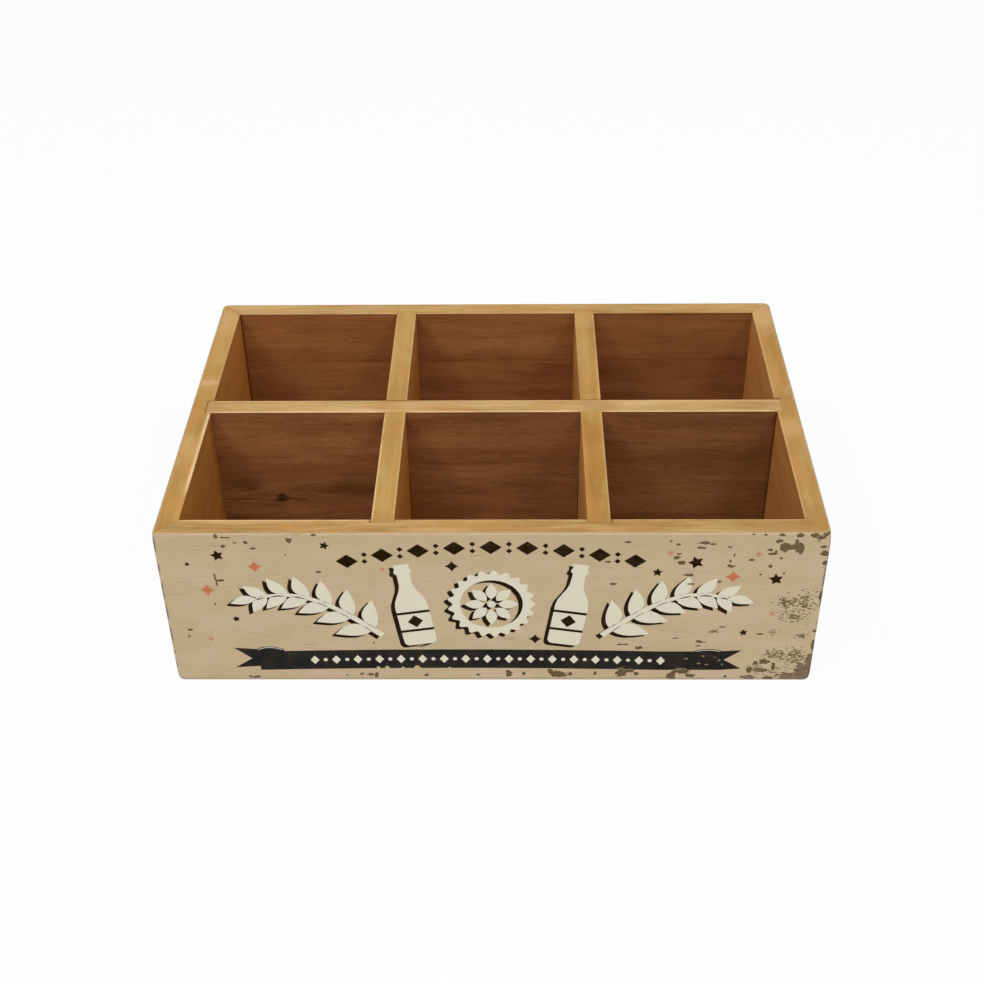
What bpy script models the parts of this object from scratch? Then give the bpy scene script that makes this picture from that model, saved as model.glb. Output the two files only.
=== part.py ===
# Wooden bottle crate: a low open box of mitred boards with an egg-crate divider grid
# that makes two rows of three square cells. Metres, +Z up, front face towards -Y,
# origin at the centre of the underside.
import math

import bmesh
import bpy
from mathutils import Matrix, Vector

# Driving sizes of the crate
COLUMNS = 3
ROWS = 2
CELL_LENGTH = 0.0745
CELL_DEPTH = 0.0745
CRATE_HEIGHT = 0.077
WALL_THICKNESS = 0.009
DIVIDER_THICKNESS = 0.009
BASE_THICKNESS = 0.0035

# Joinery
JOINT_GAP = 0.0003
MITRE_GAP = 0.0002
HOUSING_DEPTH = 0.0025
REBATE_WIDTH = 0.0055
LAP_HEIGHT_SHARE = 0.5

# Rounding: the upright corners, sanded less in front than at the back, and the eased arrises
FRONT_CORNER_RADIUS = 0.0012
BACK_CORNER_RADIUS = 0.003
CORNER_STEPS = 5
ARRIS_EASE = 0.0006
BASE_EASE = 0.0003
EASE_SEGMENTS = 2

# Brads that pin the walls to each other and to the dividers
BRAD_LENGTH = 0.020
BRAD_SHANK_RADIUS = 0.0006
BRAD_HEAD_RADIUS = 0.0011
BRAD_HEAD_THICKNESS = 0.0005
BRAD_POINT_LENGTH = 0.0018
BRAD_SET_DEPTH = 0.0007
BRAD_HEIGHT_SHARES = (0.27, 0.73)

# Flat-headed panel pins that hold the base in its rebate
PIN_LENGTH = 0.0125
PIN_SHANK_RADIUS = 0.0007
PIN_HEAD_RADIUS = 0.0013
PIN_HEAD_THICKNESS = 0.0006
PIN_POINT_LENGTH = 0.002
PIN_SET_DEPTH = 0.0003

FASTENER_CLEARANCE = 0.0002
FASTENER_SIDES = 10
SHARP_DEGREES = 40
FLAT_DEGREES = 1
CUT_OVERRUN = 0.004
WELD_DISTANCE = 0.00001

# Sizes that follow from the driving ones
CRATE_LENGTH = COLUMNS * CELL_LENGTH + (COLUMNS - 1) * DIVIDER_THICKNESS + 2 * WALL_THICKNESS
CRATE_DEPTH = ROWS * CELL_DEPTH + (ROWS - 1) * DIVIDER_THICKNESS + 2 * WALL_THICKNESS
COLUMN_PITCH = CELL_LENGTH + DIVIDER_THICKNESS
ROW_PITCH = CELL_DEPTH + DIVIDER_THICKNESS
DIVIDER_FOOT = BASE_THICKNESS + JOINT_GAP
LAP_HEIGHT = DIVIDER_FOOT + LAP_HEIGHT_SHARE * (CRATE_HEIGHT - DIVIDER_FOOT)

# Finishes: (red, green, blue), roughness, metallic
CREAM_PAINT = ((0.55, 0.42, 0.25), 0.62, 0.0)
HONEY_WOOD = ((0.50, 0.31, 0.11), 0.55, 0.0)
STAINED_PLYWOOD = ((0.19, 0.085, 0.03), 0.65, 0.0)
BRIGHT_STEEL = ((0.52, 0.52, 0.50), 0.35, 1.0)


def clear_scene():
    for old in list(bpy.data.objects):
        bpy.data.objects.remove(old, do_unlink=True)


def new_collection(name):
    made = bpy.data.collections.new(name)
    bpy.context.scene.collection.children.link(made)
    return made


def new_material(name, finish):
    colour, roughness, metallic = finish
    made = bpy.data.materials.new(name)
    made.use_nodes = True
    shader = made.node_tree.nodes["Principled BSDF"]
    shader.inputs["Base Color"].default_value = (*colour, 1)
    shader.inputs["Roughness"].default_value = roughness
    shader.inputs["Metallic"].default_value = metallic
    made.diffuse_color = (*colour, 1)
    return made


def put_in(obj, collection):
    for held_by in list(obj.users_collection):
        held_by.objects.unlink(obj)
    collection.objects.link(obj)
    return obj


def spaced(count, pitch):
    """Places of count things a pitch apart, centred on zero."""
    return [(i - (count - 1) / 2) * pitch for i in range(count)]


def divider_places(count, pitch):
    """Places of the dividers between count cells, centred on zero."""
    return spaced(count - 1, pitch)


def box(name, size, centre):
    """A box of the given size, with its scale applied."""
    bpy.ops.mesh.primitive_cube_add(size=1, location=centre)
    made = bpy.context.object
    made.name = name
    made.scale = size
    bpy.ops.object.transform_apply(location=False, rotation=False, scale=True)
    return made


def box_between(name, low, high):
    size = [b - a for a, b in zip(low, high)]
    centre = [(a + b) / 2 for a, b in zip(low, high)]
    return box(name, size, centre)


def board_from_outline(name, outline, height):
    """A board standing on z = 0 whose plan is the outline, as a mesh with its caps welded on."""
    plan = bpy.data.curves.new(name + "_plan", "CURVE")
    plan.dimensions = "2D"
    plan.fill_mode = "BOTH"
    plan.extrude = height / 2
    spline = plan.splines.new("POLY")
    spline.points.add(len(outline) - 1)
    for point, (x, y) in zip(spline.points, outline):
        point.co = (x, y, 0, 1)
    spline.use_cyclic_u = True
    drawn = bpy.data.objects.new(name + "_plan", plan)
    bpy.context.scene.collection.objects.link(drawn)
    graph = bpy.context.evaluated_depsgraph_get()
    mesh = bpy.data.meshes.new_from_object(drawn.evaluated_get(graph))
    bpy.data.objects.remove(drawn)
    shaped = bmesh.new()
    shaped.from_mesh(mesh)
    bmesh.ops.remove_doubles(shaped, verts=shaped.verts, dist=WELD_DISTANCE)
    bmesh.ops.translate(shaped, verts=shaped.verts, vec=(0, 0, height / 2))
    flat = math.radians(FLAT_DEGREES)
    bmesh.ops.dissolve_limit(shaped, angle_limit=flat, verts=shaped.verts, edges=shaped.edges)
    bmesh.ops.recalc_face_normals(shaped, faces=shaped.faces)
    shaped.to_mesh(mesh)
    shaped.free()
    mesh.name = name
    made = bpy.data.objects.new(name, mesh)
    bpy.context.scene.collection.objects.link(made)
    return made


def ease(obj, width, is_eased):
    """Rounds the edges whose two ends pass the test, by edge weight, so that joint faces stay sharp."""
    weights = obj.data.attributes.new("bevel_weight_edge", "FLOAT", "EDGE")
    points = obj.data.vertices
    for edge in obj.data.edges:
        a, b = (points[i].co for i in edge.vertices)
        weights.data[edge.index].value = float(is_eased(a, b))
    bevel = obj.modifiers.new("eased arrises", "BEVEL")
    bevel.limit_method = "WEIGHT"
    bevel.width = width
    bevel.segments = EASE_SEGMENTS


def cut(obj, *cutters):
    for cutter in cutters:
        taken = obj.modifiers.new("cut by " + cutter.name, "BOOLEAN")
        taken.operation = "DIFFERENCE"
        taken.solver = "EXACT"
        taken.object = cutter


def as_cutter(obj, cutters):
    obj.hide_render = True
    obj.display_type = "WIRE"
    return put_in(obj, cutters)


def turned_mesh(name, profile):
    """The mesh of a profile of (radius, z) points, listed from the top down, turned about Z."""
    line = bpy.data.meshes.new(name + "_profile")
    points = [(radius, 0, z) for radius, z in profile]
    line.from_pydata(points, [(i, i + 1) for i in range(len(points) - 1)], [])
    lathe = bpy.data.objects.new(name + "_profile", line)
    bpy.context.scene.collection.objects.link(lathe)
    screw = lathe.modifiers.new("turned", "SCREW")
    screw.steps = FASTENER_SIDES
    screw.render_steps = FASTENER_SIDES
    screw.use_merge_vertices = True
    screw.merge_threshold = WELD_DISTANCE
    graph = bpy.context.evaluated_depsgraph_get()
    mesh = bpy.data.meshes.new_from_object(lathe.evaluated_get(graph))
    bpy.data.objects.remove(lathe)
    return mesh


def copies(name, template, places):
    """One object that holds a separate solid of the template mesh at each place."""
    gathered = bmesh.new()
    for place in places:
        first = len(gathered.verts)
        gathered.from_mesh(template)
        gathered.verts.ensure_lookup_table()
        bmesh.ops.transform(gathered, matrix=place, verts=gathered.verts[first:])
    mesh = bpy.data.meshes.new(name)
    gathered.to_mesh(mesh)
    gathered.free()
    made = bpy.data.objects.new(name, mesh)
    bpy.context.scene.collection.objects.link(made)
    return made


def driven(at, outward):
    """Places a fastener with its head's top at a point, driven in against the outward direction."""
    turn = Vector(outward).to_track_quat("Z", "Y").to_matrix().to_4x4()
    return Matrix.Translation(Vector(at)) @ turn


class Fastener:
    """A round nail with a flat head and a tapered point, and the hole that it sits in."""

    def __init__(self, length, shank, head, head_thickness, point_length, set_depth):
        self.length = length
        self.shank = shank
        self.head = head
        self.head_thickness = head_thickness
        self.point_length = point_length
        self.set_depth = set_depth

    def nail_profile(self):
        return [
            (0, 0),
            (self.head, 0),
            (self.head, -self.head_thickness),
            (self.shank, -self.head_thickness),
            (self.shank, self.point_length - self.length),
            (0, -self.length),
        ]

    def hole_profile(self):
        head = self.head + FASTENER_CLEARANCE
        shank = self.shank + FASTENER_CLEARANCE
        seat = -self.head_thickness - FASTENER_CLEARANCE
        return [
            (0, self.set_depth + CUT_OVERRUN),
            (head, self.set_depth + CUT_OVERRUN),
            (head, seat),
            (shank, seat),
            (shank, self.point_length - self.length),
            (FASTENER_CLEARANCE, -self.length - FASTENER_CLEARANCE),
            (0, -self.length - FASTENER_CLEARANCE),
        ]

    def group(self, name, faces, outward):
        """A nail driven in at each point of one face, all of one mesh, and the cutter for their holes."""
        inward = -Vector(outward)
        places = [driven(Vector(face) + inward * self.set_depth, outward) for face in faces]
        mesh = turned_mesh(name, self.nail_profile())
        mesh.shade_smooth()
        mesh.set_sharp_from_angle(angle=math.radians(SHARP_DEGREES))
        nails = []
        for number, place in enumerate(places, start=1):
            nail = bpy.data.objects.new(f"{name}_{number}", mesh)
            nail.matrix_world = place
            bpy.context.scene.collection.objects.link(nail)
            nails.append(nail)
        holes = copies(name + "_holes", turned_mesh(name + "_holes", self.hole_profile()), places)
        return nails, holes


def mitred_end(length, radius):
    """The right end of a wall's plan: the rounded outer corner up to its mitre, and the mitre's inner end."""
    back_off = MITRE_GAP / math.sqrt(2)
    stop_angle = -math.pi / 4 - math.asin(back_off / (math.sqrt(2) * radius))
    arc = []
    for i in range(CORNER_STEPS + 1):
        angle = -math.pi / 2 + (stop_angle + math.pi / 2) * i / CORNER_STEPS
        arc.append((length / 2 - radius + radius * math.cos(angle), radius + radius * math.sin(angle)))
    return arc, length / 2 - WALL_THICKNESS - back_off


def mitred_outline(length, housing_places, left_radius, right_radius):
    """Plan of a wall: outer face along y = 0, thickness towards +Y, mitred ends, housings in the inner face."""
    left_arc, left_inner_end = mitred_end(length, left_radius)
    right_arc, right_inner_end = mitred_end(length, right_radius)
    half_slot = DIVIDER_THICKNESS / 2 + JOINT_GAP
    housing_floor = WALL_THICKNESS - HOUSING_DEPTH
    inner_face = [(right_inner_end, WALL_THICKNESS)]
    for place in sorted(housing_places, reverse=True):
        inner_face += [
            (place + half_slot, WALL_THICKNESS),
            (place + half_slot, housing_floor),
            (place - half_slot, housing_floor),
            (place - half_slot, WALL_THICKNESS),
        ]
    inner_face.append((-left_inner_end, WALL_THICKNESS))
    return [(-x, y) for x, y in reversed(left_arc)] + right_arc + inner_face


def wall(name, length, housing_places, outer_face, turn, left_radius, right_radius):
    """A mitred wall board. Its arrises are eased along the outer face and along the rim."""
    made = board_from_outline(name, mitred_outline(length, housing_places, left_radius, right_radius), CRATE_HEIGHT)

    def is_eased(a, b):
        level = abs(a.z - b.z) < WELD_DISTANCE
        outer = max(a.y, b.y) < max(left_radius, right_radius) / 2
        inner_top = min(a.y, b.y) > WALL_THICKNESS - WELD_DISTANCE and a.z > CRATE_HEIGHT / 2
        return level and (outer or inner_top)

    ease(made, ARRIS_EASE, is_eased)
    made.location = outer_face
    made.rotation_euler = (0, 0, turn)
    return made


def divider(name, size, centre, along):
    """A divider board with eased top arrises along its length, which is axis 0 or 1."""
    made = box(name, size, centre)

    def is_eased(a, b):
        return min(a.z, b.z) > 0 and abs(a[along] - b[along]) > WELD_DISTANCE

    ease(made, ARRIS_EASE, is_eased)
    return made


def build_walls():
    columns = divider_places(COLUMNS, COLUMN_PITCH)
    rows = divider_places(ROWS, ROW_PITCH)
    half_length = CRATE_LENGTH / 2
    half_depth = CRATE_DEPTH / 2
    front = FRONT_CORNER_RADIUS
    back = BACK_CORNER_RADIUS
    return {
        "front_wall": wall("front_wall", CRATE_LENGTH, columns, (0, -half_depth, 0), 0, front, front),
        "right_wall": wall("right_wall", CRATE_DEPTH, rows, (half_length, 0, 0), math.pi / 2, front, back),
        "back_wall": wall("back_wall", CRATE_LENGTH, columns, (0, half_depth, 0), math.pi, back, back),
        "left_wall": wall("left_wall", CRATE_DEPTH, rows, (-half_length, 0, 0), -math.pi / 2, back, front),
    }


def build_dividers():
    """One long divider with slots from below, and cross dividers with slots from above."""
    reach = 2 * (HOUSING_DEPTH - JOINT_GAP) - 2 * WALL_THICKNESS
    height = CRATE_HEIGHT - DIVIDER_FOOT
    middle = (CRATE_HEIGHT + DIVIDER_FOOT) / 2
    long_size = (CRATE_LENGTH + reach, DIVIDER_THICKNESS, height)
    cross_size = (DIVIDER_THICKNESS, CRATE_DEPTH + reach, height)
    made = {}
    for place in divider_places(ROWS, ROW_PITCH):
        made["long_divider"] = divider("long_divider", long_size, (0, place, middle), 0)
    names = ("left_cross_divider", "right_cross_divider")
    for name, place in zip(names, divider_places(COLUMNS, COLUMN_PITCH)):
        made[name] = divider(name, cross_size, (place, 0, middle), 1)
    return made


def build_base():
    """The plywood bottom, which sits in the rebate flush with the walls' undersides."""
    inset = WALL_THICKNESS - REBATE_WIDTH + JOINT_GAP
    size = (CRATE_LENGTH - 2 * inset, CRATE_DEPTH - 2 * inset, BASE_THICKNESS)
    made = box("base_panel", size, (0, 0, BASE_THICKNESS / 2))

    def is_eased(a, b):
        return max(a.z, b.z) < 0

    ease(made, BASE_EASE, is_eased)
    return made


def rebate_cutter():
    """The space of the rebate round the walls' inner bottom edges."""
    inset = WALL_THICKNESS - REBATE_WIDTH
    half_x = CRATE_LENGTH / 2 - inset
    half_y = CRATE_DEPTH / 2 - inset
    return box_between("base_rebate", (-half_x, -half_y, -CUT_OVERRUN), (half_x, half_y, DIVIDER_FOOT))


def lap_cutters():
    """The slots of the cross halving joints: one set opens downwards, the other upwards."""
    half = DIVIDER_THICKNESS / 2 + JOINT_GAP
    reach = DIVIDER_THICKNESS / 2 + CUT_OVERRUN
    from_below = []
    from_above = []
    for column in divider_places(COLUMNS, COLUMN_PITCH):
        for row in divider_places(ROWS, ROW_PITCH):
            low = (column - half, row - reach, -CUT_OVERRUN)
            high = (column + half, row + reach, LAP_HEIGHT + JOINT_GAP / 2)
            from_below.append(box_between("lap_slot_below", low, high))
            low = (column - reach, row - half, LAP_HEIGHT - JOINT_GAP / 2)
            high = (column + reach, row + half, CRATE_HEIGHT + CUT_OVERRUN)
            from_above.append(box_between("lap_slot_above", low, high))
    return from_below, from_above


def build_fasteners():
    """Brads through the end and back walls, and pins up through the base. None goes through the front."""
    brad = Fastener(
        length=BRAD_LENGTH,
        shank=BRAD_SHANK_RADIUS,
        head=BRAD_HEAD_RADIUS,
        head_thickness=BRAD_HEAD_THICKNESS,
        point_length=BRAD_POINT_LENGTH,
        set_depth=BRAD_SET_DEPTH,
    )
    pin = Fastener(
        length=PIN_LENGTH,
        shank=PIN_SHANK_RADIUS,
        head=PIN_HEAD_RADIUS,
        head_thickness=PIN_HEAD_THICKNESS,
        point_length=PIN_POINT_LENGTH,
        set_depth=PIN_SET_DEPTH,
    )
    half_length = CRATE_LENGTH / 2
    half_depth = CRATE_DEPTH / 2
    corner = half_depth - WALL_THICKNESS / 2
    across = [-corner, *divider_places(ROWS, ROW_PITCH), corner]
    heights = [share * CRATE_HEIGHT for share in BRAD_HEIGHT_SHARES]
    left = [(-half_length, y, z) for y in across for z in heights]
    right = [(half_length, y, z) for y in across for z in heights]
    back = [(x, half_depth, z) for x in divider_places(COLUMNS, COLUMN_PITCH) for z in heights]

    cell_columns = spaced(COLUMNS, COLUMN_PITCH)
    cell_rows = spaced(ROWS, ROW_PITCH)
    ledge = WALL_THICKNESS - REBATE_WIDTH / 2
    lines_along = [-(half_depth - ledge), *divider_places(ROWS, ROW_PITCH), half_depth - ledge]
    lines_across = [-(half_length - ledge), half_length - ledge]
    under = [(x, y, 0) for x in cell_columns for y in lines_along]
    under += [(x, y, 0) for x in lines_across for y in cell_rows]
    return {
        "left_wall_brad": brad.group("left_wall_brad", left, (-1, 0, 0)),
        "right_wall_brad": brad.group("right_wall_brad", right, (1, 0, 0)),
        "back_wall_brad": brad.group("back_wall_brad", back, (0, 1, 0)),
        "base_pin": pin.group("base_pin", under, (0, 0, -1)),
    }


def main():
    clear_scene()
    crate = new_collection("bottle_crate")
    cutters = new_collection("cutters")

    walls = build_walls()
    dividers = build_dividers()
    base = build_base()
    fasteners = build_fasteners()
    nails = [nail for group, _ in fasteners.values() for nail in group]
    holes = {name: as_cutter(pair[1], cutters) for name, pair in fasteners.items()}
    rebate = as_cutter(rebate_cutter(), cutters)
    from_below, from_above = lap_cutters()
    for slot in from_below + from_above:
        as_cutter(slot, cutters)

    for made in walls.values():
        cut(made, rebate)
    ends = (holes["left_wall_brad"], holes["right_wall_brad"])
    cut(walls["left_wall"], holes["left_wall_brad"])
    cut(walls["right_wall"], holes["right_wall_brad"])
    cut(walls["front_wall"], *ends)
    cut(walls["back_wall"], *ends, holes["back_wall_brad"])
    cut(dividers["long_divider"], *from_below, *ends)
    for name in ("left_cross_divider", "right_cross_divider"):
        cut(dividers[name], *from_above, holes["back_wall_brad"])
    for made in (*walls.values(), *dividers.values(), base):
        cut(made, holes["base_pin"])

    finishes = {
        new_material("cream_paint", CREAM_PAINT): walls.values(),
        new_material("honey_wood", HONEY_WOOD): dividers.values(),
        new_material("stained_plywood", STAINED_PLYWOOD): [base],
        new_material("bright_steel", BRIGHT_STEEL): nails,
    }
    origin = bpy.data.objects.new("crate_origin", None)
    crate.objects.link(origin)
    for material, pieces in finishes.items():
        for piece in pieces:
            piece.data.materials.clear()
            piece.data.materials.append(material)
            piece.parent = origin
            put_in(piece, crate)


main()
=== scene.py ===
import math
from collections import namedtuple

import bmesh
import bpy
from bpy.props import FloatProperty, FloatVectorProperty, PointerProperty
from mathutils import Matrix, Vector
from mathutils.geometry import tessellate_polygon


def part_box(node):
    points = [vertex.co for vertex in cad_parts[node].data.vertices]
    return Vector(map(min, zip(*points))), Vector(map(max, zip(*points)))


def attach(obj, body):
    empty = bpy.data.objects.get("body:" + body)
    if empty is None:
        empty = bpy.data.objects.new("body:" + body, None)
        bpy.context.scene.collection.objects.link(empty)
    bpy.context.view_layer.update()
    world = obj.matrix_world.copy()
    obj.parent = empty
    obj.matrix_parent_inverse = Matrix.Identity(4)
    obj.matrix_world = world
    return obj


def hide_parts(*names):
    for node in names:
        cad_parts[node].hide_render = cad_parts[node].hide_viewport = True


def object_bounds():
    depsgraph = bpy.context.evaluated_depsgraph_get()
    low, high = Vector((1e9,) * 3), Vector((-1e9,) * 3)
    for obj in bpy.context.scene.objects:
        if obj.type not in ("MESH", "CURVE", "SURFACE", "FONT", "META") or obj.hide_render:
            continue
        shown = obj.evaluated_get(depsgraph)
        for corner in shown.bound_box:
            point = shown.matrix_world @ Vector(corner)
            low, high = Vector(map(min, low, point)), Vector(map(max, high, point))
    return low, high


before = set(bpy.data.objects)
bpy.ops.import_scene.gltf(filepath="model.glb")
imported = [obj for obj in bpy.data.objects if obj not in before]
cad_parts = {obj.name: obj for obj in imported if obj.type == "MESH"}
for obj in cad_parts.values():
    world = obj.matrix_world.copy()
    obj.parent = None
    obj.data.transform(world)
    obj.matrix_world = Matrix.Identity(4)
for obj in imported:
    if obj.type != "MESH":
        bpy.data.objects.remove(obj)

bl_info = {
    "name": "Bottle Crate",
    "version": (1, 0, 0),
    "blender": (4, 5, 0),
    "location": "3D View > Sidebar > Bottle Crate",
    "description": "A worn wooden bottle crate with a divider grid and a printed front",
    "category": "Object",
}

# The crate's own sizes, read from the frame
CRATE_LOW, CRATE_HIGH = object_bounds()
HALF_LENGTH = CRATE_HIGH.x
HALF_DEPTH = CRATE_HIGH.y
RIM = CRATE_HIGH.z
FRONT_LOW, FRONT_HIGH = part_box("front_wall")
LONG_LOW, LONG_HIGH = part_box("long_divider")
LEFT_LOW, LEFT_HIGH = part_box("left_cross_divider")
RIGHT_LOW, RIGHT_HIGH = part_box("right_cross_divider")
BASE_LOW, BASE_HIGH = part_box("base_panel")
WALL = FRONT_HIGH.y - FRONT_LOW.y
DIVIDER = LONG_HIGH.y - LONG_LOW.y
FOOT = LONG_LOW.z
LAP = (RIM + FOOT) / 2
INNER_X = HALF_LENGTH - WALL
INNER_Y = HALF_DEPTH - WALL
HOUSING = LONG_HIGH.x - INNER_X
MM = 0.001
# The play round the base and in the halving joints, the opening of a loose and of a tight mitre, and a size that
# counts as none
GAP = 0.0003
MITRE_GAP = 0.0002
FINE_MITRE = 0.04 * MM
TINY = 0.01 * MM
# The rim's height, and how far along X and Y together the upright corners are, in millimetres
RIM_MM = RIM / MM
CORNER_MM = (HALF_LENGTH + HALF_DEPTH) / MM
# How far back the front's own wear goes round its corners, how far in from the outer faces the coat of paint may
# reach, and a distance that no spot of wear reaches
FRONT_ZONE_MM = 3.2
COAT_DEPTH_MM = 1.3
OUT_OF_REACH = 99

# Blender's own names for the nodes used most. RANGE takes a value, two ends to map from, and two to map to
MATH = "ShaderNodeMath"
VECTOR = "ShaderNodeVectorMath"
MIX = "ShaderNodeMix"
RANGE = "ShaderNodeMapRange"
NOISE = "ShaderNodeTexNoise"
RAMP = "ShaderNodeValToRGB"
APART = "ShaderNodeSeparateXYZ"


def linear(hex_colour):
    """An sRGB hex colour as linear red, green and blue."""
    parts = [int(hex_colour[i : i + 2], 16) / 255 for i in (1, 3, 5)]
    return tuple(p / 12.92 if p <= 0.04045 else ((p + 0.055) / 1.055) ** 2.4 for p in parts)


def opaque(hex_colour):
    return (*linear(hex_colour), 1)


def colour_setting(name, description, hex_colour):
    return FloatVectorProperty(
        name=name, description=description, default=linear(hex_colour), size=3, min=0, max=1, subtype="COLOR"
    )


def length_setting(name, description, default):
    return FloatProperty(
        name=name, description=description, default=default, min=0, unit="LENGTH", subtype="DISTANCE"
    )


def power_setting(name, description, default):
    return FloatProperty(name=name, description=description, default=default, min=0, unit="POWER")


class BoardSettings(bpy.types.PropertyGroup):
    front_corner: length_setting("Front corners", "Rounding of the two upright front corners", 0.0006)
    back_corner: length_setting("Back corners", "Rounding of the two upright back corners", 0.003)
    tip: length_setting("Corner tips", "How much rounder the front corners are worn at their ends", 0.0022)
    outer_arris: length_setting("Outer arris", "Rounding of the outer edges of the rim and the foot", 0.0007)
    inner_arris: length_setting("Inner arris", "Rounding of the rim's inner edges", 0.0003)
    ring_width: length_setting("Ring width", "Distance between growth rings", 0.0042)
    fibre_width: length_setting("Fibre width", "Width of one streak of the grain", 0.0007)


class PaintSettings(bpy.types.PropertyGroup):
    cream: colour_setting("Cream paint", "Colour of the outer faces", "#C3AD8B")
    flake: colour_setting("Flake", "Colour of the ground that chipped paint lays bare", "#5F4E2E")
    chip_length: length_setting("Chip length", "Length of a paint chip along the grain", 0.0017)
    chip_height: length_setting("Chip height", "Height of a paint chip across the grain", 0.0010)


class PrintSettings(bpy.types.PropertyGroup):
    black: colour_setting("Black ink", "Colour of the stars and the shadows", "#211200")
    ribbon: colour_setting("Ribbon ink", "Colour of the ribbon", "#222120")
    cream: colour_setting("Cream ink", "Colour of the large motifs", "#DED7C2")
    coral: colour_setting("Coral ink", "Colour of the large sparkles", "#C57354")
    faded: colour_setting("Faded coral ink", "Colour of the small sparkles, rubbed thin", "#BC8C6E")
    ribbon_height: length_setting("Ribbon height", "Height of the ribbon's band", 0.0102)
    shadow_shift: length_setting("Shadow shift", "How far the drop shadow lies to the left", 0.0017)


class StageSettings(bpy.types.PropertyGroup):
    background: colour_setting("Background", "Colour of the floor and the backdrop", "#FFFFFF")
    lens: FloatProperty(name="Lens", description="Focal length of the camera", default=53.89, min=1, unit="CAMERA")
    front_power: power_setting("Front light", "Power of the soft front lamp", 6.4)
    side_power: power_setting("Side lights", "Power of the soft lamps at both sides", 7.9)
    ambient: FloatProperty(name="Ambient", description="Strength of the studio's own light", default=0.34, min=0)


def add(tree, kind, inputs=(), **settings):
    """Adds a node. Its inputs come in the node's own order, or in a dict by name or number. Each takes a value,
    a socket, or a node whose first output then feeds it."""
    node = tree.nodes.new(kind)
    for name, value in settings.items():
        setattr(node, name, value)
    for key, value in inputs.items() if isinstance(inputs, dict) else enumerate(inputs):
        sockets = node.inputs if isinstance(key, int) else {s.name: s for s in reversed(node.inputs) if s.enabled}
        socket = sockets[key]
        if isinstance(value, bpy.types.Node):
            value = next(s for s in value.outputs if s.enabled)
        if isinstance(value, bpy.types.NodeSocket):
            tree.links.new(value, socket)
        else:
            socket.default_value = value
    return node


def new_group(name):
    """A node group that takes a place."""
    tree = bpy.data.node_groups.new(name, "ShaderNodeTree")
    tree.interface.new_socket("Place", in_out="INPUT", socket_type="NodeSocketVector")
    return tree, add(tree, "NodeGroupInput").outputs["Place"]


def close_group(tree, outputs):
    """Ends a node group with the numbers that it gives."""
    for name in outputs:
        tree.interface.new_socket(name, in_out="OUTPUT", socket_type="NodeSocketFloat")
    add(tree, "NodeGroupOutput", outputs)
    return tree


def soft_noise(tree, place, size_mm, detail, roughness=0.5):
    """Noise whose patches are about as long, deep and high as the given millimetres."""
    scaled = add(tree, VECTOR, (place, [1 / s for s in size_mm]), operation="MULTIPLY")
    return add(tree, NOISE, {"Vector": scaled, "Scale": 1, "Detail": detail, "Roughness": roughness})


def oval(tree, place, plane, at, half):
    """How far a place is from an oval spot in a plane such as XZ, where 1 is the spot's outline."""
    scale, shift = Vector(), Vector()
    for axis, middle, reach in zip(plane, at, half):
        i = "XYZ".index(axis)
        scale[i], shift[i] = 1 / reach, -middle / reach
    scaled = add(tree, VECTOR, (place, scale, shift), operation="MULTIPLY_ADD")
    return add(tree, VECTOR, (scaled,), operation="LENGTH").outputs["Value"]


def away_from(tree, value, at):
    """How far a number is from another, to either side."""
    offset = add(tree, MATH, (value, at), operation="SUBTRACT")
    return add(tree, MATH, (offset,), operation="ABSOLUTE")


def span(tree, value, low, high, share):
    """A share of 1 or less between two places in millimetres, with soft ends."""
    offset = away_from(tree, value, (low + high) / 2)
    half = (high - low) / 2
    return add(tree, RANGE, (offset, half + 2, half - 4, 0, share))


def by_line(tree, parts, axis, at, wide, narrow):
    """1 along a line that crosses an axis, falling to 0; at in metres, wide and narrow in millimetres from it."""
    offset = away_from(tree, parts.outputs[axis], at / MM)
    return add(tree, RANGE, (offset, wide, narrow))


def outward(tree, parts):
    """How far a place lies from the crate's middle along X, along Y, and towards the upright corners."""
    over_x, over_y = (add(tree, MATH, (parts.outputs[axis],), operation="ABSOLUTE") for axis in "XY")
    return over_x, over_y, add(tree, MATH, (over_x, over_y), operation="ADD")


def colour_stops(ramp, *stops):
    """Gives a colour ramp its stops, each a position and a colour."""
    elements = ramp.color_ramp.elements
    elements.remove(elements[1])
    for i, (at, colour) in enumerate(stops):
        stop = elements.new(at) if i else elements[0]
        stop.position, stop.color = at, colour


def layered(tree, colour, *layers):
    """Lays tints over a colour. Each layer is its share, then a hex colour or a node that gives one."""
    for share, tint in layers:
        tint = opaque(tint) if isinstance(tint, str) else tint
        colour = add(tree, MIX, {"Factor": share, "A": colour, "B": tint}, data_type="RGBA")
    return colour


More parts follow.
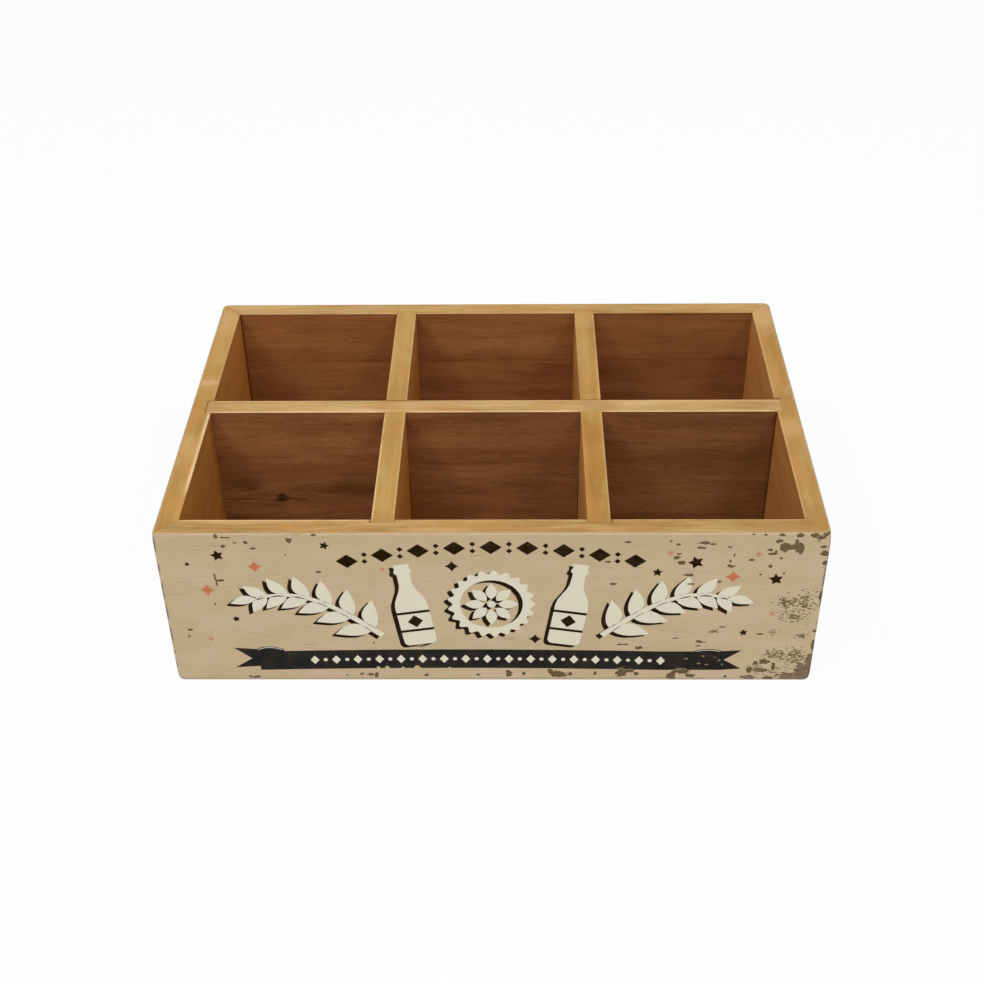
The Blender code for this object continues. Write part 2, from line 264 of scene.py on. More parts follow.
def wood_grain_group(boards):
    """Planed softwood in millimetres, with the grain along X: broad bands of early and late wood, fine fibres
    that wander a little, short dashes where the stain sank in or was rubbed off, and soft blotches."""
    tree, place = new_group("wood grain")
    band_mm = 2 * boards.ring_width / MM
    fibre_mm = boards.fibre_width / MM
    wander = soft_noise(tree, place, (90, 24, 24), 2)
    centred = add(tree, VECTOR, (wander.outputs["Color"], (0.5, 0.5, 0.5)), operation="SUBTRACT")
    bent = add(tree, VECTOR, (centred, (0, 7, 7), place), operation="MULTIPLY_ADD")
    dashes = soft_noise(tree, bent, (3.6, 0.34, 0.34), 1)
    lines = soft_noise(tree, bent, (60, 1.3, 1.3), 2, 0.55)
    return close_group(
        tree,
        {
            "Tone": soft_noise(tree, bent, (75, band_mm, band_mm), 2, 0.55),
            "Fibre": soft_noise(tree, bent, (22, fibre_mm, fibre_mm), 2, 0.6),
            "Pale": add(tree, RANGE, (dashes, 0.64, 0.78)),
            "Deep": add(tree, RANGE, (dashes, 0.39, 0.24)),
            "Streak": add(tree, RANGE, (lines, 0.55, 0.72)),
            "Blotch": soft_noise(tree, place, (15, 6.5, 6.5), 3, 0.6),
        },
    )


# Where the front's paint has flaked: x, z, half width and half height in millimetres
FLAKES = (
    (-122.2, 24.5, 0.6, 0.5), (-121.3, 27.9, 0.8, 0.6), (-109.6, 41.6, 0.3, 0.8), (-108, 55.9, 0.3, 1.9),
    (-107.6, 52.8, 0.4, 1.6), (-106.3, 53.8, 1.7, 0.5), (-105.3, 76.1, 0.7, 1), (-102.9, 71, 0.8, 0.8),
    (-101.6, 75.3, 1.7, 0.4), (-99.6, 2.3, 0.7, 0.5), (-98.3, 72.7, 0.9, 0.3), (-97.2, 1.9, 1.3, 0.7),
    (-94.2, 73, 0.8, 0.7), (-91.6, 70, 0.9, 0.6), (-79.2, 66.7, 0.5, 0.4), (-77.2, 73.9, 1.2, 1),
    (-67.7, 76.4, 0.9, 0.4), (-67.3, 58.1, 1.1, 0.5), (-59.9, 2.9, 0.5, 0.6), (-53.7, 3.4, 0.8, 0.7),
    (-50, 3.2, 1.2, 0.6), (-47.7, 20.7, 0.3, 0.9), (-47.6, 3.2, 0.7, 1.4), (-29.2, 19.3, 1.8, 0.5),
    (-27.2, 2.9, 0.8, 0.7), (-5.8, 3.1, 0.8, 0.6), (6.7, 4, 1.1, 1.6), (12.9, 3.8, 0.7, 0.7), (23.5, 5.2, 1.1, 1.4),
    (27.2, 3.5, 2.8, 1.6), (31.8, 3.5, 0.8, 0.9), (42, 4.1, 0.7, 0.9), (45.2, 63.1, 1.1, 0.4), (47.9, 52.1, 1.2, 0.6),
    (52.4, 20, 2.4, 0.4), (52.5, 72.9, 1.2, 0.4), (52.6, 4.6, 2, 2.2), (56.2, 5.5, 1.8, 0.9), (58.8, 3.8, 1.1, 0.9),
    (59.3, 18, 1.3, 0.9), (68.9, 73.2, 0.5, 0.4), (71.7, 65.2, 1.1, 0.8), (72, 71.7, 0.9, 0.5), (72.2, 67, 0.9, 0.4),
    (73.2, 2.4, 1.8, 1.6), (73.7, 62.7, 1.5, 0.8), (73.9, 23.4, 1.3, 0.4), (76.7, 5.2, 3.4, 1.3),
    (76.9, 56.5, 1.6, 0.7), (77.9, 51.9, 1.6, 0.4), (80.7, 70, 1.4, 0.6), (80.9, 2.6, 1.8, 1), (81.9, 72.5, 2, 0.6),
    (83, 19.1, 1.1, 0.5), (83.7, 21.3, 1.9, 0.7), (84.8, 71.9, 1.1, 0.4), (89.1, 52.9, 0.7, 0.5),
    (91.5, 70.4, 0.8, 0.4), (92.2, 29.4, 1.1, 0.3), (92.4, 63.5, 0.6, 0.6), (92.7, 60.9, 1.4, 0.8),
    (93.6, 66.5, 0.4, 0.8), (95.3, 2.4, 0.7, 0.7), (100.1, 76.6, 0.8, 0.3), (100.5, 64, 1.1, 0.5),
    (104.5, 56.8, 0.5, 0.4), (104.6, 76.4, 0.9, 0.4), (104.7, 1.8, 2.6, 1.1), (104.8, 5.8, 1, 1.6),
    (106.8, 9.7, 0.8, 1.1), (106.9, 68.9, 1.1, 0.5), (107.3, 25.6, 1.3, 0.4), (108, 60.8, 0.8, 0.6),
    (108.4, 67, 1.7, 0.5), (109.4, 68.1, 0.5, 0.8), (110.4, 10.3, 2.1, 1), (110.5, 5.6, 2, 0.9),
    (111.1, 76.3, 1.1, 0.5), (111.7, 65, 0.6, 0.6), (112.5, 1.5, 2.1, 0.9), (113.5, 57.3, 0.4, 0.6),
    (114.4, 7.5, 0.8, 1.8), (117.9, 76, 1.5, 0.8), (123.2, 76, 1.4, 1.2), (125.1, 73.6, 0.6, 0.5),
    (125.8, 75, 1.4, 0.8), (127.4, 70.4, 1.2, 0.6), (127.7, 76.2, 1.4, 0.8), (128.2, 67.4, 1.5, 1.2),
    (128.7, 62.5, 1.1, 0.9), (129.1, 27.2, 0.8, 0.6), (129.3, 46.2, 0.8, 2.9), (129.8, 65.9, 0.5, 2.4),
    (78.5, 12.2, 0.9, 0.3), (84, 9.6, 0.6, 0.4), (85.6, 13.6, 0.5, 0.4), (87.2, 8.9, 0.7, 0.3), (90.2, 12.9, 0.4, 0.3),
    (92.1, 11.2, 0.5, 0.5), (93.4, 9, 0.4, 0.4),
)
# The larger patches, whose middles are paler, in the same form
PATCHES = (
    (110.2, 73.2, 1.4, 0.9), (112.6, 70.2, 2, 2.2), (115.4, 70.2, 2.2, 1.2), (118.2, 70, 1.8, 2),
    (116.8, 72.6, 0.7, 1.7), (118.9, 68, 1, 1.2), (127, 4.2, 3.6, 4.2), (121.6, 2.2, 4.4, 1.8), (128.6, 9.6, 1.5, 5.6),
    (125.4, 7.6, 1.5, 2.4), (129.1, 19.9, 0.9, 2.5), (108.2, 5.9, 2.6, 0.9), (105.2, 1.6, 2.2, 1.3),
)
# Where the paint has crazed into crowds of fine flakes, in the same form
NETS = (
    (123.2, 42.6, 7.5, 7.5), (117, 42.8, 8, 4.6), (119.4, 35, 8.5, 4.6), (113.2, 26.5, 3.2, 2.4),
    (123.8, 24.7, 4.6, 2.4), (122.2, 13.2, 8.6, 6.8), (115.6, 14.4, 8.5, 4.6), (116.5, 4, 9, 4.6), (88.8, 27.2, 4, 2),
    (108, 6.5, 5.5, 4),
)


def paint_wear_group(paint):
    """Where old paint has flaked, crazed, cracked and yellowed, and the lip that gets a painted highlight, in crate
    millimetres.
    """
    tree, place = new_group("paint wear")
    parts = add(tree, APART, (place,))
    height = parts.outputs["Z"]

    def nearest_of(spots):
        """How far the nearest of the spots is."""
        nearest = None
        for x, z, *half in spots:
            away = oval(tree, place, "XZ", (x, z), half)
            nearest = away if nearest is None else add(tree, MATH, (nearest, away), operation="MINIMUM")
        return nearest

    chip_mm = paint.chip_length / MM
    flakes = soft_noise(tree, place, (chip_mm, chip_mm, paint.chip_height / MM), 4, 0.7)

    # On the front each flake has its own place, and the noise frays its outline
    off_front = add(tree, MATH, (parts.outputs["Y"], FRONT_ZONE_MM - HALF_DEPTH / MM), operation="GREATER_THAN")
    distances = []
    for spots, most, least in ((PATCHES, 0.9, -0.95), (FLAKES, 1.5, -1.7)):
        frayed = add(tree, RANGE, (flakes, 0, 1, most, least))
        frayed = add(tree, MATH, (off_front, OUT_OF_REACH, frayed), operation="MULTIPLY_ADD")
        distances.append(add(tree, MATH, (nearest_of(spots), frayed), operation="ADD"))
    patches, small = distances
    nearest = add(tree, MATH, (patches, small), operation="MINIMUM")
    large = add(tree, RANGE, (nearest, 1.06, 0.97))
    # A band round each chip, whose paint edge gets a painted highlight
    lip_highlight = add(tree, RANGE, (nearest, 1.6, 1.1))
    deep = add(tree, RANGE, (patches, 0.98, 0.7))
    shallow = add(tree, RANGE, (small, 0.8, 0.2, 0, 0.25))

    # On the other sides paint wears at the upright corners and along the bottom and top edges
    worn = flakes
    reach = outward(tree, parts)[2]
    for value, start, stop, much in (
        (reach, CORNER_MM - 6, CORNER_MM - 0.5, 0.17), (height, 6, 0, 0.14), (height, RIM_MM - 4, RIM_MM, 0.12),
    ):
        near = add(tree, RANGE, (value, start, stop, 0, much))
        worn = add(tree, MATH, (near, off_front, worn), operation="MULTIPLY_ADD")
    edges = add(tree, RANGE, (worn, 0.72, 0.74))
    large = add(tree, MATH, (large, edges), operation="MAXIMUM")

    # Crazed paint comes off in crowds of small flakes
    fine = add(tree, RANGE, (nearest_of(NETS), 1.35, 0.1, -0.035, 0.25))
    fine = add(tree, MATH, (off_front, -1, fine), operation="MULTIPLY_ADD")
    speckle = soft_noise(tree, place, (1.5, 1.5, 0.7), 3, 0.6)
    crowded = add(tree, MATH, (speckle, fine), operation="ADD")
    crowds = add(tree, RANGE, (crowded, 0.68, 0.72, 0, 0.87))
    # The curled edges of the crazed flakes get the same painted highlight
    curled_highlight = add(tree, RANGE, (crowded, 0.57, 0.68))

    # The middles of the larger patches are mottled, and fainter higher up
    mottling = add(tree, RANGE, (speckle, 0.35, 0.6, 0.35))
    lower = add(tree, RANGE, (height, 60, 40, 0.4))
    for factor in (mottling, lower):
        deep = add(tree, MATH, (deep, factor), operation="MULTIPLY")

    # The wisps gather towards the front's left end
    lines = soft_noise(tree, place, (10, 10, 0.55), 2)
    gathered = add(tree, MATH, (soft_noise(tree, place, (45, 45, 14), 1), 0.35, lines), operation="MULTIPLY_ADD")
    gather = add(tree, RANGE, (parts.outputs["X"], -70, -120, 0.35))
    wisps = add(tree, RANGE, (gathered, 0.74, 0.86))
    return close_group(
        tree,
        {
            "Chips": add(tree, MATH, (large, crowds), operation="MAXIMUM"),
            "Deep": add(tree, MATH, (deep, shallow), operation="MAXIMUM"),
            "LipHighlight": add(tree, MATH, (lip_highlight, curled_highlight), operation="MAXIMUM"),
            "Cracks": add(tree, RANGE, (gathered, 0.87, 0.93)),
            "Wisps": add(tree, MATH, (wisps, gather), operation="MULTIPLY"),
            "Mottle": soft_noise(tree, place, (26, 26, 9), 4, 0.6),
        },
    )


def new_material(name):
    made = bpy.data.materials.new(name)
    made.use_nodes = True
    made.node_tree.nodes.clear()
    return made, made.node_tree


def surface(tree, inputs):
    """Ends a material in one shader with these inputs."""
    add(tree, "ShaderNodeOutputMaterial", {"Surface": add(tree, "ShaderNodeBsdfPrincipled", inputs)})


def in_millimetres(tree):
    """The crate's own coordinates, in millimetres."""
    seen = add(tree, "ShaderNodeTexCoord")
    return add(tree, VECTOR, {0: seen.outputs["Object"], "Scale": 1 / MM}, operation="SCALE"), seen.outputs["Normal"]


def shared(tree, group, place):
    """A shared node group, fed with a place."""
    return add(tree, "ShaderNodeGroup", {"Place": place}, node_tree=group)


def stained(tree, grain, colours, tints, fibres, dashes, streaks):
    """A planed face: the bands and the fibres move its colour between three, and streaks and dashes lie over it."""
    light, middle, dark = (opaque(colour) for colour in colours)
    pale, deep = tints
    fine = add(tree, MATH, (grain.outputs["Fibre"], fibres, -fibres / 2), operation="MULTIPLY_ADD")
    mixed = add(tree, MATH, (grain.outputs["Tone"], fine), operation="ADD")
    colour = add(tree, RAMP, (add(tree, RANGE, (mixed, 0.22, 0.78)),))
    colour_stops(colour, (0, dark), (0.5, middle), (1, light))
    for layer, share, tint in (("Streak", streaks, deep), ("Deep", dashes, deep), ("Pale", dashes, pale)):
        reach = add(tree, MATH, (grain.outputs[layer], share), operation="MULTIPLY")
        colour = layered(tree, colour, (reach, tint))
    return colour


def worn_paint(tree, colour, wear, grounds, cracked):
    """Lays the cracks and chips over a painted or printed colour: a chip shows its edge's colour, then its middle's."""
    faint = add(tree, MATH, (wear.outputs["Cracks"], cracked), operation="MULTIPLY")
    ground = add(tree, RAMP, (wear.outputs["Deep"],))
    colour_stops(ground, (0, grounds[0]), (1, grounds[1]))
    return layered(tree, colour, (faint, "#83704F"), (wear.outputs["Chips"], ground))


def cream_colour(tree, height, wear, paint):
    """Cream paint that has aged unevenly: pinker and greener clouds, a greener band under the rim, wisps, and a painted
    highlight on the lip of the chips.
    """
    clouds = add(tree, RAMP, (wear.outputs["Mottle"],))
    colour_stops(clouds, (0.33, opaque("#BEAB86")), (0.5, (*paint.cream, 1)), (0.67, opaque("#C9B193")))
    under_rim = add(tree, RANGE, (height, 55, RIM_MM, 0, 0.55))
    wisps = add(tree, MATH, (wear.outputs["Wisps"], 0.38), operation="MULTIPLY")
    # A painted highlight on the lip round the chips and on curled flakes
    lip_highlight = add(tree, MATH, (wear.outputs["LipHighlight"], 0.45), operation="MULTIPLY")
    return layered(tree, clouds, (under_rim, "#BCA782"), (wisps, "#98865F"), (lip_highlight, "#D3C19C"))


def rim_colour(tree, place, grain, wood):
    """Honey wood with soft orange and greener clouds, and the board's own paler and darker places."""
    colour = stained(tree, grain, wood.rim, ("#DDB679", "#976A36"), wood.rim_fibres, wood.rim_fibres * 0.7, 0.1)
    for low, high, tint in ((0.46, 0.7, "#C88C4C"), (0.46, 0.3, "#BDA36A")):
        cloud = add(tree, RANGE, (grain.outputs["Blotch"], low, high, 0, 0.5))
        colour = layered(tree, colour, (cloud, tint))
    for x, y, half_x, half_y, share, shade in wood.patches:
        away = oval(tree, place, "XY", (x, y), (half_x, half_y))
        ragged = add(tree, MATH, (grain.outputs["Fibre"], 0.5, away), operation="MULTIPLY_ADD")
        patch = add(tree, RANGE, (ragged, 1.45, 0.65, 0, share))
        colour = layered(tree, colour, (patch, SHADES[shade]))
    return colour


def side_colour(tree, place, parts, grain, wood, along):
    """A stained side with painted light and shade: darker towards one end, lower down, just under the rim and in some
    corners.
    """
    height = parts.outputs["Z"]
    colour = stained(tree, grain, wood.inside, ("#B58A62", "#56300F"), wood.fibres, wood.dashes, wood.streaks)
    # Painted light and shade: the side is lighter or darker towards one end and darker lower down, with random clouds
    # of tone
    shade = add(tree, RANGE, (parts.outputs[along], *wood.fade), interpolation_type="SMOOTHSTEP")
    for factor in ((height, *wood.sink), (grain.outputs["Blotch"], 0.3, 0.7, 0.93, 1.07)):
        shade = add(tree, MATH, (shade, add(tree, RANGE, factor)), operation="MULTIPLY")
    grey = add(tree, "ShaderNodeCombineColor", (shade, shade, shade))
    colour = add(tree, MIX, {"Factor": 1.0, "A": colour, "B": grey}, data_type="RGBA", blend_type="MULTIPLY")
    # Dark places: the knot's own marks, and painted shade in the cells
    for x, z, *half, share in wood.stains:
        ragged = oval(tree, place, "XZ", (x, z), half)
        for layer, much in (("Fibre", 0.6), ("Tone", 0.7)):
            ragged = add(tree, MATH, (grain.outputs[layer], much, ragged), operation="MULTIPLY_ADD")
        dark = add(tree, RANGE, (ragged, 1.65, 0.95, 0, share), interpolation_type="SMOOTHSTEP")
        colour = layered(tree, colour, (dark, "#371D0B"))
    # Painted shade: a dark line just under the rim, and dark lines in some corners and one across the back wall
    painted_shade_lines = add(tree, RANGE, (height, RIM_MM - 1.5, RIM_MM - 0.6, 0, 0.3))
    broken = add(tree, RANGE, (grain.outputs["Fibre"], 0.3, 0.5, 0.25))
    for axis, at, wide, narrow, share in wood.seams:
        shade_line = by_line(tree, parts, axis, at, wide, narrow)
        for factor in (share, broken):
            shade_line = add(tree, MATH, (shade_line, factor), operation="MULTIPLY")
        painted_shade_lines = add(tree, MATH, (painted_shade_lines, shade_line), operation="MAXIMUM")
    return layered(tree, colour, (painted_shade_lines, "#4A250A"))


def rubbed_edges_and_highlights(tree, colour, parts, grain, wood, along, on_rim):
    """Lays pale wood and a painted highlight along the rim's inner edges in some stretches."""
    bare = add(tree, RANGE, (grain.outputs["Blotch"], 0.36, 0.56, 0.65))
    for axis, at, width, stretches in wood.edges:
        rubbed = by_line(tree, parts, axis, at, width, width * 0.35)
        rubbed = add(tree, MATH, (rubbed, 1.6), operation="POWER")
        share = 0
        for low, high, much in stretches:
            stretch = span(tree, parts.outputs[along], low, high, much)
            share = add(tree, MATH, (share, stretch), operation="MAXIMUM")
        for factor in (on_rim, bare, share):
            rubbed = add(tree, MATH, (rubbed, factor), operation="MULTIPLY")
        colour = layered(tree, colour, (rubbed, "#F0CB98"))
    return colour


def knot_swirl(tree, place, knot):
    """How the grain parts round a knot: its lines are pushed up above it and down below it."""
    from_knot = add(tree, VECTOR, (place, (knot[0], 0, knot[1])), operation="SUBTRACT")
    away = oval(tree, place, "XZ", knot, KNOT_REACH)
    pull = add(tree, RANGE, (away, 1, 0, 0, 0.8), interpolation_type="SMOOTHSTEP")
    lift = add(tree, VECTOR, (from_knot, (0, 0, -1)), operation="MULTIPLY")
    return add(tree, VECTOR, {0: lift, "Scale": pull}, operation="SCALE")


def board_material(name, along, seed, wood, groups, scene, painted=False, knot=None):
    """Planed softwood under a brown stain, rubbed back to honey along the rim, with the walls painted cream outside.
    Its bands and fibres show through the thin stain, and neither that nor the old paint shines."""
    made, tree = new_material(name)
    place, normal = in_millimetres(tree)
    parts = add(tree, APART, (place,))
    height = parts.outputs["Z"]
    # The grain runs along the board, and each board is cut from another place in it
    turn = (0, 0, 0) if along == "X" else (0, 0, -math.pi / 2)
    moved_to = (seed * 37.0, 41 + seed * 3, -62 - seed * 11)
    laid = add(tree, "ShaderNodeMapping", {"Vector": place, "Rotation": turn, "Location": moved_to})
    if knot:
        laid = add(tree, VECTOR, (laid, knot_swirl(tree, place, knot)), operation="ADD")
    grain = shared(tree, groups["grain"], laid)
    fibre, blotch = grain.outputs["Fibre"], grain.outputs["Blotch"]

    up = add(tree, APART, (normal,)).outputs["Z"]
    on_rim = add(tree, RANGE, (up, 0.02, 0.12))
    high_up = add(tree, MATH, (height, RIM_MM / 2), operation="GREATER_THAN")
    on_rim = add(tree, MATH, (on_rim, high_up), operation="MULTIPLY")
    side = side_colour(tree, place, parts, grain, wood, along)
    colour = layered(tree, side, (on_rim, rim_colour(tree, place, grain, wood)))
    # The rim's inner edges get a painted highlight, with wood rubbed pale
    colour = rubbed_edges_and_highlights(tree, colour, parts, grain, wood, along, on_rim)
    rough = add(tree, RANGE, (fibre, 0, 1, 0.52, 0.68))
    relief = add(tree, MATH, (grain.outputs["Deep"], -0.6, fibre), operation="MULTIPLY_ADD")
    if painted:
        over_x, over_y, reach = outward(tree, parts)
        # Towards the rim's outer edge the wood is dull with rubbed paint, and a painted highlight lies on the arris
        # itself
        out, half = (over_y, HALF_DEPTH / MM) if along == "X" else (over_x, HALF_LENGTH / MM)
        dulled = add(tree, RANGE, (out, half - 1.7, half - 0.5, 0, 0.6))
        dulled = add(tree, MATH, (dulled, on_rim), operation="MULTIPLY")
        arris = add(tree, RANGE, (up, 0.995, 0.93, 0, 0.75))
        arris = add(tree, MATH, (arris, dulled), operation="MULTIPLY")
        colour = layered(tree, colour, (dulled, "#B09A74"), (arris, "#E6C79A"))

        # The paint covers the outside, and its upper border runs a little unevenly along the outer arris
        near_end = add(tree, MATH, (over_x, HALF_LENGTH / MM - COAT_DEPTH_MM), operation="GREATER_THAN")
        near_side = add(tree, MATH, (over_y, HALF_DEPTH / MM - COAT_DEPTH_MM), operation="GREATER_THAN")
        coated = add(tree, MATH, (near_end, near_side), operation="MAXIMUM")
        border = add(tree, RANGE, (blotch, 0, 1, -0.12, 0.12))
        shifted = add(tree, MATH, (up, border), operation="ADD")
        below_rim = add(tree, RANGE, (shifted, 0.90, 0.84))
        above_foot = add(tree, MATH, (up, -0.8), operation="GREATER_THAN")
        for factor in (below_rim, above_foot):
            coated = add(tree, MATH, (coated, factor), operation="MULTIPLY")
        wear = shared(tree, groups["wear"], place)
        cream = cream_colour(tree, height, wear, scene.crate_paint)
        worn = worn_paint(tree, cream, wear, ((*scene.crate_paint.flake, 1), opaque("#877460")), 0.4)

        # Painted shade greys the foot's edge, and darkens the upright corners here and there
        foot = add(tree, RANGE, (height, 2.2, 0.2, 0, 0.5))
        corner = add(tree, RANGE, (reach, CORNER_MM - 1.1, CORNER_MM - 0.5))
        painted_corner_shade = add(tree, RANGE, (blotch, 0.45, 0.54, 0, 0.85))
        painted_corner_shade = add(tree, MATH, (painted_corner_shade, corner), operation="MULTIPLY")
        worn = layered(tree, worn, (foot, "#8C8172"), (painted_corner_shade, "#5F543F"))
        colour = layered(tree, colour, (coated, worn))
        chips = add(tree, MATH, (wear.outputs["Chips"], coated), operation="MULTIPLY")
        paint_rough = add(tree, RANGE, (chips, 0, 1, 0.6, 0.8))
        rough = add(tree, MIX, {"Factor": coated, "A": rough, "B": paint_rough})
        quiet = add(tree, RANGE, (coated, 0, 1, 1, 0.35))
        softened = add(tree, MATH, (relief, quiet), operation="MULTIPLY")
        relief = add(tree, MATH, (chips, -1.5, softened), operation="MULTIPLY_ADD")
    bump = add(tree, "ShaderNodeBump", {"Height": relief, "Strength": 0.5, "Distance": 0.05 * MM})
    surface(tree, {"Base Color": colour, "Roughness": rough, "Normal": bump, "IOR": 1.5, "Specular IOR Level": 0.15})
    return made


def ink_material(name, ink, groups, scene):
    """Screen-printed ink on the painted front: a thin, matt and even film, chipped wherever the paint under it is."""
    made, tree = new_material(name)
    place, _ = in_millimetres(tree)
    cloud = soft_noise(tree, place, (5, 5, 5), 3)
    thin = add(tree, RANGE, (cloud, 0.4, 0.8, 0, 0.03))
    laid = add(tree, MIX, {"Factor": thin, "A": (*ink, 1), "B": (*scene.crate_paint.cream, 1)}, data_type="RGBA")
    wear = shared(tree, groups["wear"], place)
    worn = worn_paint(tree, laid, wear, (opaque("#8B7958"), opaque("#A08E6E")), 0.08)
    rough = add(tree, RANGE, (wear.outputs["Chips"], 0, 1, 0.62, 0.78))
    surface(tree, {"Base Color": worn, "Roughness": rough, "Specular IOR Level": 0.03})
    return made


def steel_material():
    """Bright drawn steel wire: its heads are small grey glints, dulled in patches where they have begun to rust."""
    made, tree = new_material("drawn steel nails")
    place, _ = in_millimetres(tree)
    spots = soft_noise(tree, place, (0.8, 0.8, 0.8), 3)
    rust = add(tree, RANGE, (spots, 0.5, 0.7, 0, 0.8))
    colour = layered(tree, opaque("#A9A8A2"), (rust, "#6B4A33"))
    rough = add(tree, RANGE, (rust, 0, 1, 0.35, 0.8))
    surface(tree, {"Base Color": colour, "Roughness": rough, "Metallic": 0.9})
    return made


def solid(outline, place, push):
    """A closed solid in a new bmesh: a flat outline, put in space by place, then pushed through."""
    shaped = bmesh.new()
    face = shaped.faces.new([shaped.verts.new(place(a, b)) for a, b in outline])
    pushed = bmesh.ops.extrude_face_region(shaped, geom=[face])
    moved = [g for g in pushed["geom"] if isinstance(g, bmesh.types.BMVert)]
    bmesh.ops.translate(shaped, verts=moved, vec=push)
    bmesh.ops.recalc_face_normals(shaped, faces=shaped.faces)
    return shaped


def lofted(outline_at, heights):
    """A closed solid in a new bmesh, through the flat outlines that outline_at gives at each height."""
    shaped = bmesh.new()
    rings = [[shaped.verts.new((x, y, z)) for x, y in outline_at(z)] for z in heights]
    for low, high in zip(rings, rings[1:]):
        for i in range(len(low)):
            shaped.faces.new((low[i - 1], low[i], high[i], high[i - 1]))
    shaped.faces.new(rings[0][::-1])
    shaped.faces.new(rings[-1])
    bmesh.ops.recalc_face_normals(shaped, faces=shaped.faces)
    return shaped


def rounded(shaped, width, is_edge, segments=4):
    """Bevels the edges whose two ends pass the test."""
    edges = [e for e in shaped.edges if is_edge(e.verts[0].co, e.verts[1].co)]
    bmesh.ops.bevel(
        shaped, geom=edges, offset=width, offset_type="OFFSET", segments=segments, profile=0.5, affect="EDGES",
        clamp_overlap=True,
    )


def placed(name, data):
    """Puts a new object in the scene, made of a bmesh or of other data."""
    if isinstance(data, bmesh.types.BMesh):
        shaped, data = data, bpy.data.meshes.new(name)
        shaped.to_mesh(data)
        shaped.free()
    made = bpy.data.objects.new(name, data)
    bpy.context.scene.collection.objects.link(made)
    return made


def as_piece(name, shaped, material, slot, *nodes):
    """Turns a bmesh into a piece of the crate that stands for the named nodes."""
    piece = placed(name, shaped)
    piece.data.materials.append(material)
    if nodes:
        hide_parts(*nodes)
    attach(piece, "root")
    return piece


def smoothed(piece, degrees=32):
    piece.data.shade_smooth()
    piece.data.set_sharp_from_angle(angle=math.radians(degrees))
    weighted = piece.modifiers.new("even shading", "WEIGHTED_NORMAL")
    weighted.keep_sharp = True


def carve(piece, *cutters):
    """Cuts the shapes out of a piece for good, and removes them."""
    for cutter in cutters:
        taken = piece.modifiers.new("cut", "BOOLEAN")
        taken.object = cutter
        taken.solver = "EXACT"
    graph = bpy.context.evaluated_depsgraph_get()
    carved = bpy.data.meshes.new_from_object(piece.evaluated_get(graph))
    piece.modifiers.clear()
    plain = piece.data
    piece.data = carved
    bpy.data.meshes.remove(plain)
    for cutter in cutters:
        bpy.data.objects.remove(cutter)


def block(low, high):
    """A plain box to cut with."""
    made = bmesh.new()
    size = [b - a for a, b in zip(low, high)]
    middle = [(a + b) / 2 for a, b in zip(low, high)]
    bmesh.ops.create_cube(made, size=1, matrix=Matrix.Translation(middle) @ Matrix.Diagonal((*size, 1)))
    return placed("cutter", made)


# The axis that the nails of a board point along, and the way that their heads face
NAIL_FACES = {"left_wall_brad": (0, -1), "right_wall_brad": (0, 1), "back_wall_brad": (1, 1), "base_pin": (2, -1)}


def nail_recesses(prefix):
    """Round sinkings over the heads of the nails whose names start with the prefix."""
    made = bmesh.new()
    axis, facing = NAIL_FACES[prefix]
    turned = Vector([facing if i == axis else 0 for i in range(3)]).to_track_quat("Z", "Y").to_matrix().to_4x4()
    play = 0.2 * MM
    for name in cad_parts:
        if not name.startswith(prefix):
            continue
        low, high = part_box(name)
        middle = (low + high) / 2
        radius = max(high[i] - low[i] for i in range(3) if i != axis) / 2 + play
        middle[axis] = high[axis] if facing > 0 else low[axis]
        bmesh.ops.create_cone(
            made, cap_ends=True, segments=28, radius1=radius, radius2=radius, depth=2 * MM,
            matrix=Matrix.Translation(middle) @ turned @ Matrix.Translation((0, 0, play)),
        )
    return placed("cutter", made)


def arc_points(centre, radius, start, stop, steps):
    """Points along an arc, its two ends among them."""
    angles = (start + (stop - start) * i / steps for i in range(steps + 1))
    return [(centre[0] + radius * math.cos(angle), centre[1] + radius * math.sin(angle)) for angle in angles]


def wall_plan(length, housings, gap, corners, mitres):
    """A wall seen from above: outer face along y = 0, mitred ends, and a housing for each divider's end.
    corners and mitres hold the radius and the mitre's opening at its left and right end."""
    ends = []
    for radius, opening in zip(corners, mitres):
        back_off = opening / math.sqrt(2)
        stop = -math.pi / 4 - math.asin(back_off / (math.sqrt(2) * radius))
        arc = arc_points((length / 2 - radius, radius), radius, -math.pi / 2, stop, 8)
        ends.append((arc, length / 2 - WALL - back_off))
    (left_arc, left_end), (right_arc, right_end) = ends
    half_slot = DIVIDER / 2 + gap
    floor = WALL - HOUSING - 1.5 * gap
    inner = [(right_end, WALL)]
    for at in sorted(housings, reverse=True):
        inner += [(at + half_slot, WALL), (at + half_slot, floor)]
        inner += [(at - half_slot, floor), (at - half_slot, WALL)]
    inner.append((-left_end, WALL))
    return [(-x, y) for x, y in reversed(left_arc)] + right_arc + inner


